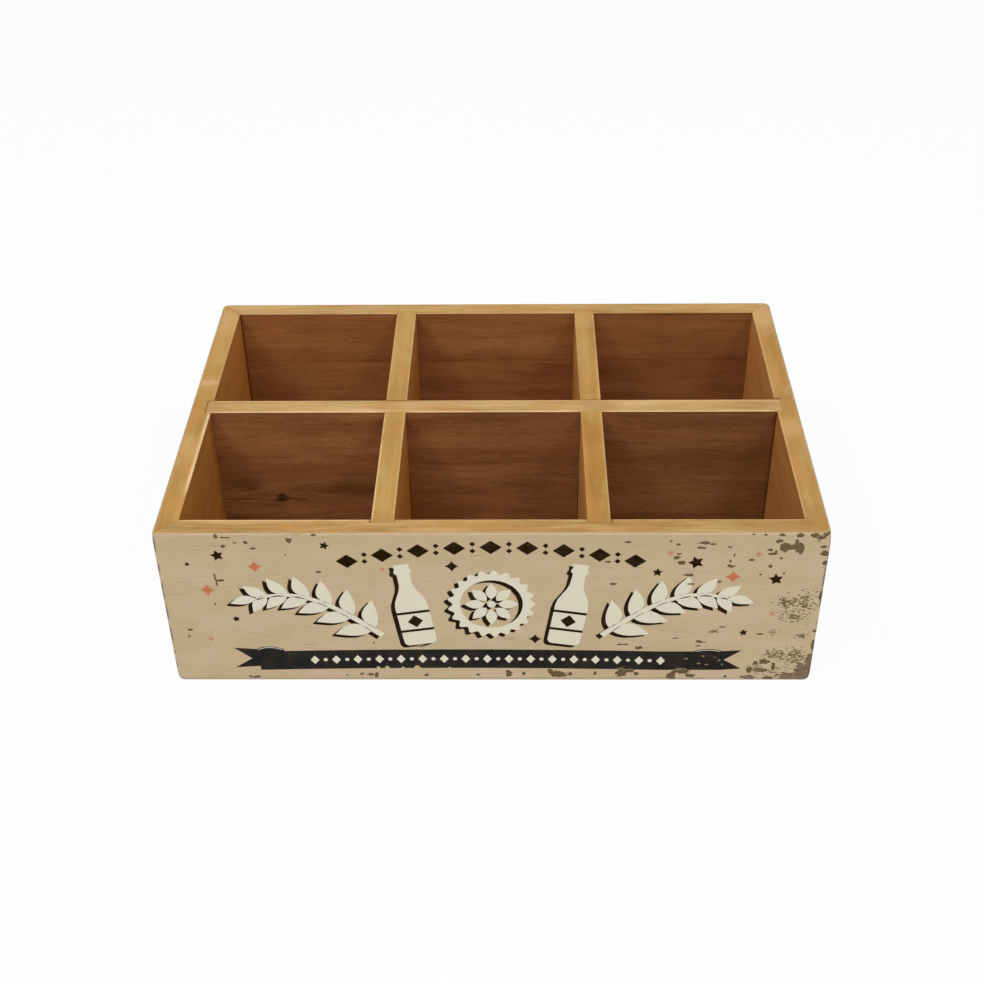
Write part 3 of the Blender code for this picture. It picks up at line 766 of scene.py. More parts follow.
# Each wall's grain axis, its length, its outer face's middle, its turn, the play of its housings, and the opening
# of the mitre and the kind of corner at its two ends
Wall = namedtuple("Wall", "along length face turn play mitres corners")
WALLS = {
    "front_wall": Wall(
        "X", 2 * HALF_LENGTH, (0, -HALF_DEPTH, 0), 0, 0.06 * MM, (FINE_MITRE, FINE_MITRE), ("front left", "front right")
    ),
    "right_wall": Wall(
        "Y", 2 * HALF_DEPTH, (HALF_LENGTH, 0, 0), math.pi / 2, 0.05 * MM, (FINE_MITRE, FINE_MITRE),
        ("front right", "back"),
    ),
    "back_wall": Wall(
        "X", 2 * HALF_LENGTH, (0, HALF_DEPTH, 0), math.pi, 0.04 * MM, (FINE_MITRE, MITRE_GAP), ("back", "back")
    ),
    "left_wall": Wall(
        "Y", 2 * HALF_DEPTH, (-HALF_LENGTH, 0, 0), -math.pi / 2, 0.22 * MM, (MITRE_GAP, FINE_MITRE),
        ("back", "front left"),
    ),
}
# How far the tips of the front corners are worn, at the foot and at the rim, as shares of the tip setting
TIP_WEAR = {"front left": (0.95, 0.6), "front right": (1.0, 1.5), "back": (0, 0)}
TIP_REACH = 5 * MM
# The heights from a wall's end at which its corners' rounding changes
TIP_STEPS = (0, 0.9 * MM, 1.8 * MM, 3 * MM, TIP_REACH)
# No painted light along the board, and no painted shade by height
NO_PAINTED_LIGHT_ALONG = (-HALF_LENGTH / MM, HALF_LENGTH / MM, 1, 1)
NO_PAINTED_SHADE_BY_HEIGHT = (RIM_MM, 0, 1, 1)
# Each board's own wood. rim and inside: light, middle and dark. fibres, dashes and streaks: how strong they are on the
# stained side. rim_fibres: how strong the grain is on the rim. fade: two places along the board, and how
# bright the stained side is there, as painted light and shade. sink: the same by height, as painted
# shade lower down. edges: where the rim's inner edge is rubbed pale and has a painted highlight: the axis across, the
# place, how far it reaches in, and stretches of the board with a share. patches: x, y, half sizes, share and shade of
# places on the rim. seams: axis, place, outer and inner reach and share of dark lines of painted shade in
# some corners and across the back wall. stains: x, z, half sizes and share of dark places in the
# stained side, the knot's own marks and painted shade. Lengths are in mm, and places across in m
Wood = namedtuple(
    "Wood", "rim inside fibres dashes streaks fade sink edges patches seams stains rim_fibres",
    defaults=(0.3, 0.15, 0.1, NO_PAINTED_LIGHT_ALONG, NO_PAINTED_SHADE_BY_HEIGHT, (), (), (), (), 0.3),
)
# The knot in the long divider's front and how far it bends the grain; then its strokes and core, its two tails,
# and the darker grain to each side
KNOT = (-94.0, 31.4)
KNOT_REACH = (30, 13)
KNOT_STAINS = (
    (-94.5, 32.8, 3, 1.15, 0.9), (-95.2, 30, 4.1, 1.3, 0.9), (-93.8, 31.4, 4.8, 2.2, 0.7),
    (-87.6, 30.7, 6.6, 1.3, 0.6), (-110.7, 30.7, 12, 0.9, 0.45), (-110, 37.8, 14, 5.4, 0.4),
    (-79, 36.6, 18, 4.6, 0.3), (-60, 36.8, 19, 6.2, 0.42), (-92, 30.5, 24, 7.5, 0.2), (-84, 41, 56, 13, 0.12),
)
SHADES = {
    "pale": "#DDB47C", "rosy": "#DDAF82", "dull": "#9E7544", "warm": "#B1792F", "brown": "#99682C", "stain": "#5E3A1B",
}
SIDE_STAIN = ("#A2653A", "#955A30", "#84502A")
# The stained sides of the boards that face left and right are lighter and more orange than those facing front and back:
# partly the wood's own colour, partly painted light for the light that falls more on those sides
WOODS = {
    "front_wall": Wood(
        ("#CDAA75", "#B38E53", "#8B652F"), SIDE_STAIN, 0.6, 0.3, 0.2, rim_fibres=0.85,
        edges=(("Y", -INNER_Y, 1.1, ((-122, -45, 1), (-38, 37, 0.35), (47, 122, 0.45))),),
        patches=(
            (118, -83.5, 30, 8, 0.5, "dull"), (-22, -85.5, 16, 1.8, 0.5, "pale"), (19, -81.5, 13, 1.8, 0.5, "dull"),
            (-42, -81.5, 14, 1.6, 0.4, "pale"), (-108, -85, 26, 1.8, 0.3, "dull"),
            (-46.6, -80, 0.6, 1.3, 0.9, "stain"), (-37, -80, 0.4, 1, 0.5, "stain"),
            (46.6, -80.2, 0.5, 1, 0.7, "stain"), (37.2, -80.2, 0.5, 0.9, 0.5, "stain"),
        ),
    ),
    "right_wall": Wood(
        # Its stained side is lighter towards the back: painted light
        ("#C3965A", "#B4884A", "#A0733C"), ("#CE9052", "#C68748", "#B97B3F"), fade=(-88, 88, 0.88, 1.1),
        edges=(("X", INNER_X, 1.1, ((-80, -6, 0.35), (6, 78, 0.25))),),
        patches=(
            (125, -80, 8, 12, 0.35, "dull"), (125, -17, 8, 9, 0.35, "pale"), (125, 5, 8, 8, 0.3, "dull"),
            (125, 78, 9, 19, 0.55, "pale"), (122.1, 5.2, 2.2, 0.7, 0.85, "stain"),
        ),
    ),
    "back_wall": Wood(
        ("#DAB680", "#C19A5E", "#9A7239"), ("#B27545", "#A46839", "#8F5830"), 0.45, 0.45, 0.25, rim_fibres=0.8,
        # Its stained side has painted light and shade: darker towards its right end and lower down, dark lines in its
        # left corner and across it, and dark places in the back cells
        fade=(-130, 130, 1.02, 0.74), sink=(57, 47, 1, 0.92), edges=(("Y", INNER_Y, 0.9, ((-120, 36, 0.2),)),),
        patches=((-112, 83.5, 22, 6, 0.4, "pale"), (10, 83.5, 28, 6, 0.35, "warm"), (97, 83.5, 18, 6, 0.3, "warm")),
        seams=(("X", -INNER_X, 1.1, 0.4, 0.8), ("Z", 0.0512, 0.7, 0.1, 0.27)),
        stains=((-106, 41, 44, 15, 0.17), (-118, 52, 16, 7, 0.12), (70, 50, 22, 6, 0.08)),
    ),
    "left_wall": Wood(
        # Its stained side is lighter towards the back: painted light
        ("#C59B5B", "#B88C4C", "#A1763B"), ("#C68540", "#BD7D38", "#AE7132"), fade=(-88, 88, 0.93, 1.07),
        edges=(("X", -INNER_X, 1.9, ((-62, -4, 1), (8, 78, 0.1))),),
        patches=(
            (-125, -86, 8, 9, 0.35, "dull"), (-125, -31, 8, 12, 0.3, "pale"), (-125, 3, 8, 9, 0.35, "warm"),
            (-125.4, 19, 7, 2.6, 0.6, "rosy"), (-125, 29, 7, 5, 0.35, "warm"), (-125, 73, 8, 14, 0.4, "pale"),
        ),
        # A broad band of painted shade next to the long divider
        seams=(("Y", -DIVIDER / 2, 9, 1, 0.4),),
    ),
    "long_divider": Wood(
        ("#DAB683", "#C5A168", "#A27A45"), ("#A77246", "#966138", "#7F4F2D"), 0.55, 0.6, 0.22, rim_fibres=0.8,
        # Its stained side has painted light and shade: darker towards its right end and lower down
        fade=(-40, 130, 1.04, 0.78), sink=(48, 20, 1, 0.94),
        edges=(
            ("Y", -DIVIDER / 2, 1.2, ((-121, -47, 0.7), (-36, 36, 0.75), (47, 121, 0.75))),
            ("Y", DIVIDER / 2, 1.1, ((-121, -47, 0.6), (-36, 36, 0.6), (47, 121, 0.5))),
        ),
        patches=(
            (-124, 0, 9, 5, 0.4, "dull"), (-84, 0, 22, 5, 0.3, "pale"), (-46, 0, 10, 5, 0.4, "warm"),
            (-20, 0, 14, 5, 0.35, "warm"), (46, 0, 10, 5, 0.45, "dull"), (112, 0, 14, 5, 0.3, "dull"),
            (-56, -3.5, 16, 0.7, 0.7, "rosy"), (-63, -2.1, 9, 0.5, 0.5, "rosy"), (-50, -2.4, 7, 0.5, 0.6, "rosy"),
        ),
        # A dark line of painted shade in its right corner, and, after the knot's own marks, dark places of painted
        # shade where the front wall's shadow falls in the front cells
        seams=(("X", INNER_X, 1.3, 0.4, 0.7),),
        stains=(*KNOT_STAINS, (2, 46, 50, 15, 0.11), (84, 49, 54, 17, 0.18), (58, 60, 22, 9, 0.12)),
    ),
    "left_cross_divider": Wood(
        ("#CAA362", "#BB9251", "#A07840"), ("#BE8039", "#B47632", "#A56C2E"),
        edges=(
            ("X", LEFT_LOW.x, 1.1, ((-79, -25, 0.85), (-25, -6, 0.6), (6, 79, 0.3))),
            ("X", LEFT_HIGH.x, 1, ((-79, 79, 0.3),)),
        ),
        patches=((-41.75, -79, 6, 6, 0.35, "dull"), (-41.75, 11, 6, 8, 0.35, "dull")),
    ),
    "right_cross_divider": Wood(
        ("#C49A59", "#B38741", "#9B743A"), ("#D09454", "#C88B49", "#B97F40"),
        edges=(("X", RIGHT_LOW.x, 1, ((-79, 79, 0.08),)), ("X", RIGHT_HIGH.x, 1, ((-79, 79, 0.35),))),
        patches=(
            (41.75, -20, 6, 12, 0.4, "brown"), (41.75, -54, 6, 26, 0.3, "brown"), (41.75, 75, 6, 10, 0.35, "pale"),
            (41.75, 42, 6, 32, 0.13, "pale"), (41.75, -80, 6, 6, 0.35, "dull"),
        ),
    ),
    "base_panel": Wood(SIDE_STAIN, SIDE_STAIN, 0.6, 0.3, 0.3),
}
CROSS_PLACES = [(LEFT_LOW.x + LEFT_HIGH.x) / 2, (RIGHT_LOW.x + RIGHT_HIGH.x) / 2]


class CRATE_OT_walls(bpy.types.Operator):
    """Makes the four mitred walls, painted outside and stained inside"""

    bl_idname = "crate.walls"
    bl_label = "Walls"

    def execute(self, context):
        scene = context.scene
        boards = scene.crate_boards
        groups = shared_groups(scene)
        heights = [*TIP_STEPS, *(RIM - h for h in reversed(TIP_STEPS))]

        def radius_at(corner, z):
            if corner == "back":
                return boards.back_corner
            at_foot, at_rim = TIP_WEAR[corner]
            near = max(0, 1 - min(z, RIM - z) / TIP_REACH)
            return boards.front_corner + boards.tip * (at_foot if z < RIM / 2 else at_rim) * near * near

        def outer(a, b):
            return (max(a.z, b.z) < TINY or min(a.z, b.z) > RIM - TINY) and max(a.y, b.y) < WALL / 3

        def inner(a, b):
            return min(a.z, b.z) > RIM - TINY and min(a.y, b.y) > WALL - TINY

        for seed, (name, wall) in enumerate(WALLS.items(), start=1):
            housings = CROSS_PLACES if wall.along == "X" else [0]

            def plan_at(z):
                radii = [radius_at(corner, z) for corner in wall.corners]
                return wall_plan(wall.length, housings, wall.play, radii, wall.mitres)

            shaped = lofted(plan_at, heights)
            rounded(shaped, boards.outer_arris, outer)
            rounded(shaped, boards.inner_arris, inner, segments=3)
            stood = Matrix.Translation(wall.face) @ Matrix.Rotation(wall.turn, 4, "Z")
            bmesh.ops.transform(shaped, matrix=stood, verts=shaped.verts)
            called = f"stained and painted softwood, {name.replace('_', ' ')}"
            material = board_material(called, wall.along, seed, WOODS[name], groups, scene, painted=True)
            piece = as_piece(f"{name}_board", shaped, material, "painted_board", name)
            rebate = block((BASE_LOW.x - GAP, BASE_LOW.y - GAP, -WALL), (BASE_HIGH.x + GAP, BASE_HIGH.y + GAP, FOOT))
            recesses = [nail_recesses(prefix) for prefix in NAIL_FACES if prefix.startswith(name)]
            carve(piece, rebate, *recesses)
            smoothed(piece)
        return {"FINISHED"}


def comb(low, high, slots, from_above):
    """A divider seen from its side, with the slots of its halving joints."""
    half = DIVIDER / 2 + GAP
    stop = LAP - GAP / 2 if from_above else LAP + GAP / 2
    edge = RIM if from_above else FOOT
    teeth = []
    for at in sorted(slots, reverse=from_above):
        pair = (at + half, at - half) if from_above else (at - half, at + half)
        teeth += [(pair[0], edge), (pair[0], stop), (pair[1], stop), (pair[1], edge)]
    if from_above:
        return [(low, FOOT), (high, FOOT), (high, RIM), *teeth, (low, RIM)]
    return [(low, FOOT), *teeth, (high, FOOT), (high, RIM), (low, RIM)]


class CRATE_OT_dividers(bpy.types.Operator):
    """Makes the long divider and the two cross dividers, halved over each other"""

    bl_idname = "crate.dividers"
    bl_label = "Dividers"

    def execute(self, context):
        scene = context.scene
        boards = scene.crate_boards
        groups = shared_groups(scene)
        for node, along, seed, knot in (
            ("long_divider", "X", 6, KNOT), ("left_cross_divider", "Y", 8, None), ("right_cross_divider", "Y", 9, None),
        ):
            low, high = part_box(node)
            if along == "X":
                outline = comb(low.x, high.x, CROSS_PLACES, False)
                shaped = solid(outline, lambda x, z: Vector((x, low.y, z)), (0, DIVIDER, 0))
            else:
                outline = comb(low.y, high.y, [0], True)
                shaped = solid(outline, lambda y, z: Vector((low.x, y, z)), (DIVIDER, 0, 0))
            axis = "XY".index(along)
            rounded(
                shaped, boards.inner_arris,
                lambda a, b: min(a.z, b.z) > RIM - TINY and abs(a[axis] - b[axis]) > TINY, segments=3,
            )
            called = f"stained softwood, {node.replace('_', ' ')}"
            material = board_material(called, along, seed, WOODS[node], groups, scene, knot=knot)
            smoothed(as_piece(f"{node}_board", shaped, material, "honey_wood", node))
        return {"FINISHED"}


class CRATE_OT_base_panel(bpy.types.Operator):
    """Makes the plywood base that sits in the walls' rebate"""

    bl_idname = "crate.base_panel"
    bl_label = "Base panel"

    def execute(self, context):
        scene = context.scene
        (left, front), (right, back) = BASE_LOW.xy, BASE_HIGH.xy
        outline = [(left, front), (right, front), (right, back), (left, back)]
        shaped = solid(outline, lambda x, y: Vector((x, y, 0)), (0, 0, BASE_HIGH.z))
        rounded(shaped, scene.crate_boards.inner_arris, lambda a, b: abs(a.z - b.z) < TINY)
        wood = WOODS["base_panel"]
        material = board_material("stained plywood, base panel", "X", 11, wood, shared_groups(scene), scene)
        piece = as_piece("base_panel_board", shaped, material, "stained_plywood", "base_panel")
        carve(piece, nail_recesses("base_pin"))
        smoothed(piece)
        return {"FINISHED"}


class CRATE_OT_nails(bpy.types.Operator):
    """Gives the frame's own brads and pins their steel"""

    bl_idname = "crate.nails"
    bl_label = "Nails"

    def execute(self, context):
        steel = steel_material()
        for name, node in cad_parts.items():
            if "_brad_" in name or "_pin_" in name:
                node.material_slots[0].material = steel
        return {"FINISHED"}


def disc(centre, radius, steps):
    return arc_points(centre, radius, 0, math.tau * (steps - 1) / steps, steps - 1)


def star(centre, radius, turn, points=5, waist_share=0.52):
    x, z = centre
    made = []
    for i in range(2 * points):
        reach = radius if i % 2 == 0 else radius * waist_share
        angle = math.pi / 2 + turn + math.pi * i / points
        made.append((x + reach * math.cos(angle), z + reach * math.sin(angle)))
    return made


def sparkle(centre, radius, sides=9, hollow=2.9):
    """A four-pointed glint with hollow sides."""
    made = []
    for i in range(4 * sides):
        angle = math.pi / 2 * i / sides
        reach = [math.copysign(abs(share) ** hollow, share) for share in (math.cos(angle), math.sin(angle))]
        made.append((centre[0] + radius * reach[0], centre[1] + radius * reach[1]))
    return made


def lozenge(centre, half_width, half_height):
    x, z = centre
    return [(x - half_width, z), (x, z - half_height), (x + half_width, z), (x, z + half_height)]


def leaf(base, tip, width, bow, steps=9):
    """An almond leaf from its stalk to its tip, bowed to one side by a share of its length."""
    (x0, z0), (x1, z1) = base, tip
    dx, dz = x1 - x0, z1 - z0
    length = math.hypot(dx, dz)
    nx, nz = -dz / length, dx / length
    made = []
    for side in (1, -1):
        for i in range(steps):
            t = i / steps if side == 1 else 1 - i / steps
            swell = width / 2 * math.sin(math.pi * t ** 0.85) * side + bow * length * math.sin(math.pi * t)
            made.append((x0 + dx * t + nx * swell, z0 + dz * t + nz * swell))
    return made


def moved(outline, dx, dz):
    return [(x + dx, z + dz) for x, z in outline]


def mirrored(outline):
    return [(-x, z) for x, z in reversed(outline)]


# How far each layer of ink stands off the front, in millimetres, so that it lies over those before it
INK_MM, FOLD_MM, MOTIF_MM, MARK_MM, LINE_MM, LABEL_MM = 0.05, 0.06, 0.08, 0.09, 0.10, 0.12


def film(name, shapes, lift_mm, material):
    """Flat printed shapes on the front. Each shape is a list of loops in millimetres: its outline, then any holes."""
    made = bmesh.new()
    front = -HALF_DEPTH
    for loops in shapes:
        corners = [Vector((x * MM, front - lift_mm * MM, z * MM)) for loop in loops for x, z in loop]
        verts = [made.verts.new(c) for c in corners]
        flat = [[Vector((x, z, 0)) for x, z in loop] for loop in loops]
        faces = [made.faces.new([verts[i] for i in triangle]) for triangle in tessellate_polygon(flat)]
        bmesh.ops.recalc_face_normals(made, faces=faces)
        if faces[0].normal.y > 0:
            bmesh.ops.reverse_faces(made, faces=faces)
        pushed = bmesh.ops.extrude_face_region(made, geom=faces, use_keep_orig=True)
        back = [g for g in pushed["geom"] if isinstance(g, bmesh.types.BMVert)]
        bmesh.ops.translate(made, verts=back, vec=(0, lift_mm * MM, 0))
    return as_piece(name, made, material, "painted_board")


def print_motif(name, shapes, scene, inks):
    """Prints cream shapes over their own black drop shadow."""
    shift = scene.crate_print.shadow_shift / MM
    shadows = [[moved(loop, -shift, -shift * 0.7) for loop in loops] for loops in shapes]
    film(f"{name}_shadow", shadows, MOTIF_MM / 2, inks["black"])
    film(name, shapes, MOTIF_MM, inks["cream"])


# Where the ribbon's lower edge has lost its ink: x, half width and height in millimetres
RIBBON_NIBBLES = ((-46.7, 0.9, 1.2), (-43.0, 1.2, 1.4), (-36.6, 0.7, 0.9), (-30.7, 1.6, 1.5), (-17.5, 0.7, 0.6))


class CRATE_OT_ribbon(bpy.types.Operator):
    """Prints the black ribbon with its row of cream lozenges"""

    bl_idname = "crate.ribbon"
    bl_label = "Ribbon"

    def execute(self, context):
        scene = context.scene
        inks = shared_inks(scene)
        height = scene.crate_print.ribbon_height / MM
        left, right, foot = -95.0, 93.1, 5.9
        steps, fold_steps = 36, 14

        def low_at(x):
            return foot + max(0, 1.1 * (1 - ((x + 13) / 80) ** 2))

        below = [(x, low_at(x)) for x in (left + (right - left) * i / steps for i in range(steps + 1))]
        for x, half, depth in RIBBON_NIBBLES:
            below = [(a, b) for a, b in below if abs(a - x) > half]
            bite = ((-half, 0), (-half / 3, depth), (half / 2, depth * 0.7), (half, 0))
            below += [(x + dx, low_at(x) + dz) for dx, dz in bite]
        above = [(x, low_at(x) + height) for x in (right - (right - left) * i / steps for i in range(steps + 1))]
        top = foot + height + 0.6
        left_tail = [
            (left + 0.1, foot + 2.2), (left + 0.1, top + 0.6), (-104.8, top + 1.4), (-97.9, foot + 6.4),
            (-105.1, foot + 1.4),
        ]
        right_tail = [
            (right - 0.1, foot), (101.2, foot + 0.8), (93.9, foot + 5.6), (100.8, top), (right - 0.1, top - 0.4),
        ]
        film("ribbon", [[sorted(below) + above], [left_tail], [right_tail]], INK_MM, inks["ribbon"])
        # The flattened loops where the ribbon folds back into its tails, each with a fine cream line
        loops, lines = [], []
        for start, stop, base, rise in ((-96.2, -84.5, top + 0.1, 2.0), (81.7, 93.2, top - 0.6, 1.3)):
            way = [i / fold_steps for i in range(fold_steps + 1)]
            crest = [(start + (stop - start) * t, base + rise * math.sin(math.pi * t) ** 0.6) for t in way]
            loops.append([[(start, base - 0.9), (stop, base - 0.9), *reversed(crest)]])
            inside = [(x * 0.97 + (start + stop) / 2 * 0.03, z - 0.35) for x, z in crest[1:-1]]
            below = [(x, z - 0.3) for x, z in inside]
            lines.append([below + list(reversed(inside))])
        film("ribbon_folds", loops, FOLD_MM, inks["ribbon"])
        film("ribbon_fold_lines", lines, LINE_MM, inks["cream"])
        marks = []
        count, pitch = 33, 4.4
        for i in range(count):
            x = (i - (count - 1) / 2) * pitch - 2
            at = (x, low_at(x) + height / 2)
            marks.append([lozenge(at, 1.8, 2.3)] if i % 2 == 0 else [disc(at, 0.85, 16)])
        film("ribbon_marks", marks, MARK_MM, inks["cream"])
        return {"FINISHED"}


class CRATE_OT_leaf_sprays(bpy.types.Operator):
    """Prints the two leafy sprays that reach out from the middle"""

    bl_idname = "crate.leaf_sprays"
    bl_label = "Leaf sprays"

    def execute(self, context):
        scene = context.scene
        shapes = []
        pairs, steps = 6, 24

        def stem(t):
            return 44 + 49 * t, 25 + 23 * math.sin(t * math.pi * 0.62) - 2 * t

        line = [stem(i / steps) for i in range(steps + 1)]
        upper, lower = [], []
        for i, (x, z) in enumerate(line):
            ahead, behind = line[min(i + 1, steps)], line[max(i - 1, 0)]
            dx, dz = ahead[0] - behind[0], ahead[1] - behind[1]
            length = math.hypot(dx, dz)
            half = 1.25 - 0.6 * i / steps
            upper.append((x - dz / length * half, z + dx / length * half))
            lower.append((x + dz / length * half, z - dx / length * half))
        shapes.append([lower + list(reversed(upper))])
        for i in range(pairs):
            t = (i + 0.35) / pairs
            x, z = stem(t)
            ahead = stem(t + 0.02)
            heading = math.atan2(ahead[1] - z, ahead[0] - x)
            size = 16.5 - 6 * t
            for side in (1, -1):
                angle = heading + side * math.radians(48 - 10 * t)
                tip = (x + size * math.cos(angle), z + size * math.sin(angle))
                base = (x + 1.4 * math.cos(angle), z + 1.4 * math.sin(angle))
                shapes.append([leaf(base, tip, 6.6 - 2.0 * t, -0.1 * side)])
        x, z = stem(1)
        shapes.append([leaf((x, z), (x + 10.5, z - 2.5), 4.4, 0.05)])
        both = shapes + [[mirrored(loop) for loop in loops] for loops in shapes]
        print_motif("leaf_sprays", both, scene, shared_inks(scene))
        return {"FINISHED"}


class CRATE_OT_bottles_and_cap(bpy.types.Operator):
    """Prints a crown cap between two plain bottles"""

    bl_idname = "crate.bottles_and_cap"
    bl_label = "Bottles and cap"

    def execute(self, context):
        scene = context.scene
        inks = shared_inks(scene)
        centre = (0, 41.5)
        teeth, per_tooth = 21, 8
        rim = []
        for i in range(teeth * per_tooth):
            angle = math.tau * i / (teeth * per_tooth)
            reach = 16.4 + math.cos(teeth * angle)
            rim.append((reach * math.cos(angle), centre[1] + reach * math.sin(angle)))
        cap = [rim, disc(centre, 12.4, 48)]
        petals, petal_count = [], 8
        for i in range(petal_count):
            angle = math.tau * i / petal_count
            c, s = math.cos(angle), math.sin(angle)
            petals.append([leaf((2.7 * c, centre[1] + 2.7 * s), (10.8 * c, centre[1] + 10.8 * s), 4.5, 0)])
        print_motif("crown_cap", [cap, *petals, [disc(centre, 1.7, 20)]], scene, inks)

        half = [
            (5.8, 0.4), (6.5, 1.5), (6.6, 3.4), (6.6, 20.2), (6.1, 23.2), (4.8, 26.2), (3.4, 29.1), (2.7, 31.8),
            (2.5, 37.2), (3.4, 37.8), (3.4, 39.3), (2.9, 39.7), (3.1, 42.0),
        ]
        outline = [(4.8, 0)] + half + [(-x, z) for x, z in reversed(half)] + [(-4.8, 0)]
        lean = math.radians(-9)
        at = (28.5, 20.2)

        def leaned(loop):
            return [
                (at[0] + x * math.cos(lean) - z * math.sin(lean), at[1] + x * math.sin(lean) + z * math.cos(lean))
                for x, z in loop
            ]

        bottle = leaned(outline)
        print_motif("bottles", [[bottle], [mirrored(bottle)]], scene, inks)
        stripes = []
        for low, high in ((7.2, 8.4), (16.6, 17.8)):
            stripes.append(leaned([(-6.6, low), (6.6, low), (6.6, high), (-6.6, high)]))
        stripes.append(leaned(lozenge((0, 12.5), 3.1, 3.2)))
        labels = [[s] for s in stripes] + [[mirrored(s)] for s in stripes]
        film("bottle_labels", labels, LABEL_MM, inks["black"])
        return {"FINISHED"}


class CRATE_OT_lozenge_arc(bpy.types.Operator):
    """Prints the shallow arch of black lozenges over the motifs"""

    bl_idname = "crate.lozenge_arc"
    bl_label = "Lozenge arch"

    def execute(self, context):
        shapes = []
        count, pitch, radius, top = 17, 0.0306, 230, 70.4
        for i in range(count):
            angle = math.pi / 2 - (i - (count - 1) / 2) * pitch
            at = (radius * math.cos(angle), top - radius + radius * math.sin(angle))
            if i % 2 == 0:
                shapes.append([lozenge(at, 4.3, 3.3)])
            else:
                shapes += [[lozenge((at[0], at[1] + lift), 1.2, 1.2)] for lift in (-1.7, 1.7)]
        film("lozenge_arc", shapes, INK_MM, shared_inks(context.scene)["black"])
        return {"FINISHED"}


# Scattered ornaments: x, z and radius in millimetres
BLACK_STARS = (
    (-105.8, 66.5, 2.7), (-64.0, 71.3, 2.0), (-102.0, 33.8, 1.6), (79.2, 62.8, 3.2), (64.6, 57.8, 2.1),
    (110.8, 54.3, 2.9), (100.6, 26.4, 1.8),
)
BLACK_SPARKLES = ((-15.2, 61.0, 2.9), (17.3, 23.0, 2.7), (-118.0, 62.2, 1.2))
CORAL_SPARKLES = ((-91.9, 60.9, 3.0), (-111.7, 49.0, 3.1), (94.0, 55.6, 3.2))
FADED_SPARKLES = ((69.0, 67.5, 1.8), (102.8, 66.8, 1.9), (-113.5, 23.0, 1.5), (111.2, 36.4, 1.4), (-42.3, 59.5, 1.3))


class CRATE_OT_stars(bpy.types.Operator):
    """Prints the scattered stars and sparkles"""

    bl_idname = "crate.stars"
    bl_label = "Stars and sparkles"

    def execute(self, context):
        inks = shared_inks(context.scene)
        stars = [[star((x, z), r, 0.35 * math.sin(7 * x))] for x, z, r in BLACK_STARS]
        stars += [[sparkle((x, z), r)] for x, z, r in BLACK_SPARKLES]
        film("black_stars", stars, INK_MM, inks["black"])
        film("coral_sparkles", [[sparkle((x, z), r)] for x, z, r in CORAL_SPARKLES], INK_MM, inks["coral"])
        film("faded_sparkles", [[sparkle((x, z), r)] for x, z, r in FADED_SPARKLES], INK_MM, inks["faded"])
        return {"FINISHED"}


def looked_at(tree):
    """1 for the rays that see the white background, straight or in a gloss, and 0 for the light that it gives."""
    path = add(tree, "ShaderNodeLightPath")
    seen = path.outputs["Is Camera Ray"]
    for ray in ("Is Glossy Ray", "Is Transmission Ray"):
        seen = add(tree, MATH, (seen, path.outputs[ray]), operation="MAXIMUM")
    return seen


# Where the camera stands, and its turn in degrees
CAMERA_PLACE = (0.01036, -0.52692, 0.42625)
CAMERA_TURN = (53.122, 0.6743, 0.7350)
LAMPS_AIM = Vector((0, 0, 0.04))


class CRATE_OT_stage(bpy.types.Operator):
    """Makes the pale floor, the soft light and the camera"""

    bl_idname = "crate.stage"
    bl_label = "Stage"

    def execute(self, context):
        scene = context.scene
        stage = scene.crate_stage
        white = (*stage.background, 1)

        made = bmesh.new()
        bmesh.ops.create_circle(made, cap_ends=True, segments=96, radius=3.0)
        bmesh.ops.translate(made, verts=made.verts, vec=(0, 0, -GAP))
        floor = placed("floor", made)
        # Matt white paper: it shows the object's shadow, and its lit part is as white as the backdrop
        paper, tree = new_material("matt white paper")
        matt = add(tree, "ShaderNodeBsdfDiffuse", {"Color": opaque("#F2F2F2")})
        glow = add(tree, "ShaderNodeEmission", {"Color": white, "Strength": 1})
        lit = add(tree, MATH, (looked_at(tree), 0.93), operation="MULTIPLY")
        mixed = add(tree, "ShaderNodeMixShader", (lit, matt, glow))
        add(tree, "ShaderNodeOutputMaterial", {"Surface": mixed})
        floor.data.materials.append(paper)

        world = bpy.data.worlds.new("studio")
        scene.world = world
        world.use_nodes = True
        tree = world.node_tree
        tree.nodes.clear()
        strength = add(tree, MIX, {"Factor": looked_at(tree), "A": stage.ambient, "B": 1.0})
        glow = add(tree, "ShaderNodeBackground", {"Color": white, "Strength": strength})
        add(tree, "ShaderNodeOutputWorld", {"Surface": glow})

        for name, place, size, power in (
            ("front_light", (-0.15, -1.0, 1.26), 0.9, stage.front_power),
            ("left_light", (-0.82, -0.52, 1.42), 0.36, stage.side_power * 1.05),
            ("right_light", (0.82, -0.52, 1.42), 0.36, stage.side_power),
        ):
            lamp = bpy.data.lights.new(name, "AREA")
            lamp.shape = "SQUARE"
            lamp.size = size
            lamp.energy = power
            holder = placed(name, lamp)
            holder.location = place
            holder.rotation_euler = (LAMPS_AIM - holder.location).to_track_quat("-Z", "Y").to_euler()

        lens = bpy.data.cameras.new("camera")
        lens.lens = stage.lens
        lens.sensor_width = 36
        lens.clip_start = 0.01
        camera = placed("camera", lens)
        camera.location = CAMERA_PLACE
        camera.rotation_euler = [math.radians(angle) for angle in CAMERA_TURN]
        scene.camera = camera
        scene.view_settings.view_transform = "Standard"
        return {"FINISHED"}


# The node groups and the inks, made once for the pieces that share them
_shared = {}


def shared_groups(scene):
    """The node groups that the boards and the inks share."""
    if "groups" not in _shared:
        _shared["groups"] = {
            "grain": wood_grain_group(scene.crate_boards), "wear": paint_wear_group(scene.crate_paint),
        }
    return _shared["groups"]


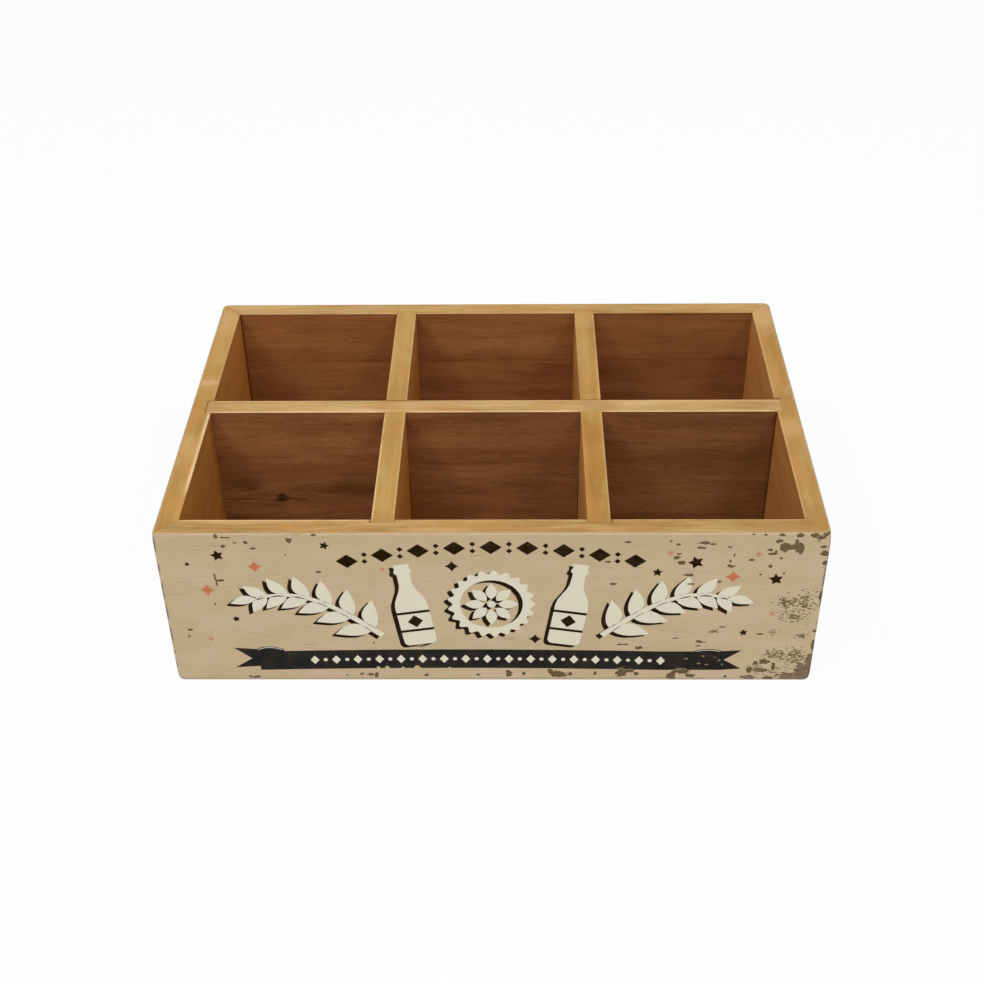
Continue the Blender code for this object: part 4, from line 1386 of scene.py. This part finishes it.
INKS = {
    "black": "black ink", "ribbon": "ribbon ink", "cream": "cream ink", "coral": "coral ink",
    "faded": "coral ink, rubbed thin",
}


def shared_inks(scene):
    """The inks' materials, by the names of their settings."""
    if "inks" not in _shared:
        groups = shared_groups(scene)
        _shared["inks"] = {
            key: ink_material(f"screen-printed {ink}", getattr(scene.crate_print, key), groups, scene)
            for key, ink in INKS.items()
        }
    return _shared["inks"]


OPERATORS = (
    CRATE_OT_walls, CRATE_OT_dividers, CRATE_OT_base_panel, CRATE_OT_nails, CRATE_OT_ribbon, CRATE_OT_leaf_sprays,
    CRATE_OT_bottles_and_cap, CRATE_OT_lozenge_arc, CRATE_OT_stars, CRATE_OT_stage,
)
SETTINGS = {
    "crate_boards": BoardSettings, "crate_paint": PaintSettings, "crate_print": PrintSettings,
    "crate_stage": StageSettings,
}


class CRATE_PT_panel(bpy.types.Panel):
    """Lists the crate's settings and the operators that make it"""

    bl_idname = "CRATE_PT_panel"
    bl_label = "Bottle Crate"
    bl_space_type = "VIEW_3D"
    bl_region_type = "UI"
    bl_category = "Bottle Crate"

    def draw(self, context):
        for key, group in SETTINGS.items():
            box = self.layout.box()
            for name in group.__annotations__:
                box.prop(getattr(context.scene, key), name)
        for operator in OPERATORS:
            self.layout.operator(operator.bl_idname)


def register():
    for cls in (*SETTINGS.values(), *OPERATORS, CRATE_PT_panel):
        bpy.utils.register_class(cls)
    for key, group in SETTINGS.items():
        setattr(bpy.types.Scene, key, PointerProperty(type=group))


def unregister():
    for key in SETTINGS:
        delattr(bpy.types.Scene, key)
    for cls in (CRATE_PT_panel, *reversed(OPERATORS), *SETTINGS.values()):
        bpy.utils.unregister_class(cls)


def main():
    register()
    bpy.ops.crate.stage()
    bpy.ops.crate.walls()
    bpy.ops.crate.dividers()
    bpy.ops.crate.base_panel()
    bpy.ops.crate.nails()
    bpy.ops.crate.ribbon()
    bpy.ops.crate.leaf_sprays()
    bpy.ops.crate.bottles_and_cap()
    bpy.ops.crate.lozenge_arc()
    bpy.ops.crate.stars()


if __name__ == "__main__":
    main()
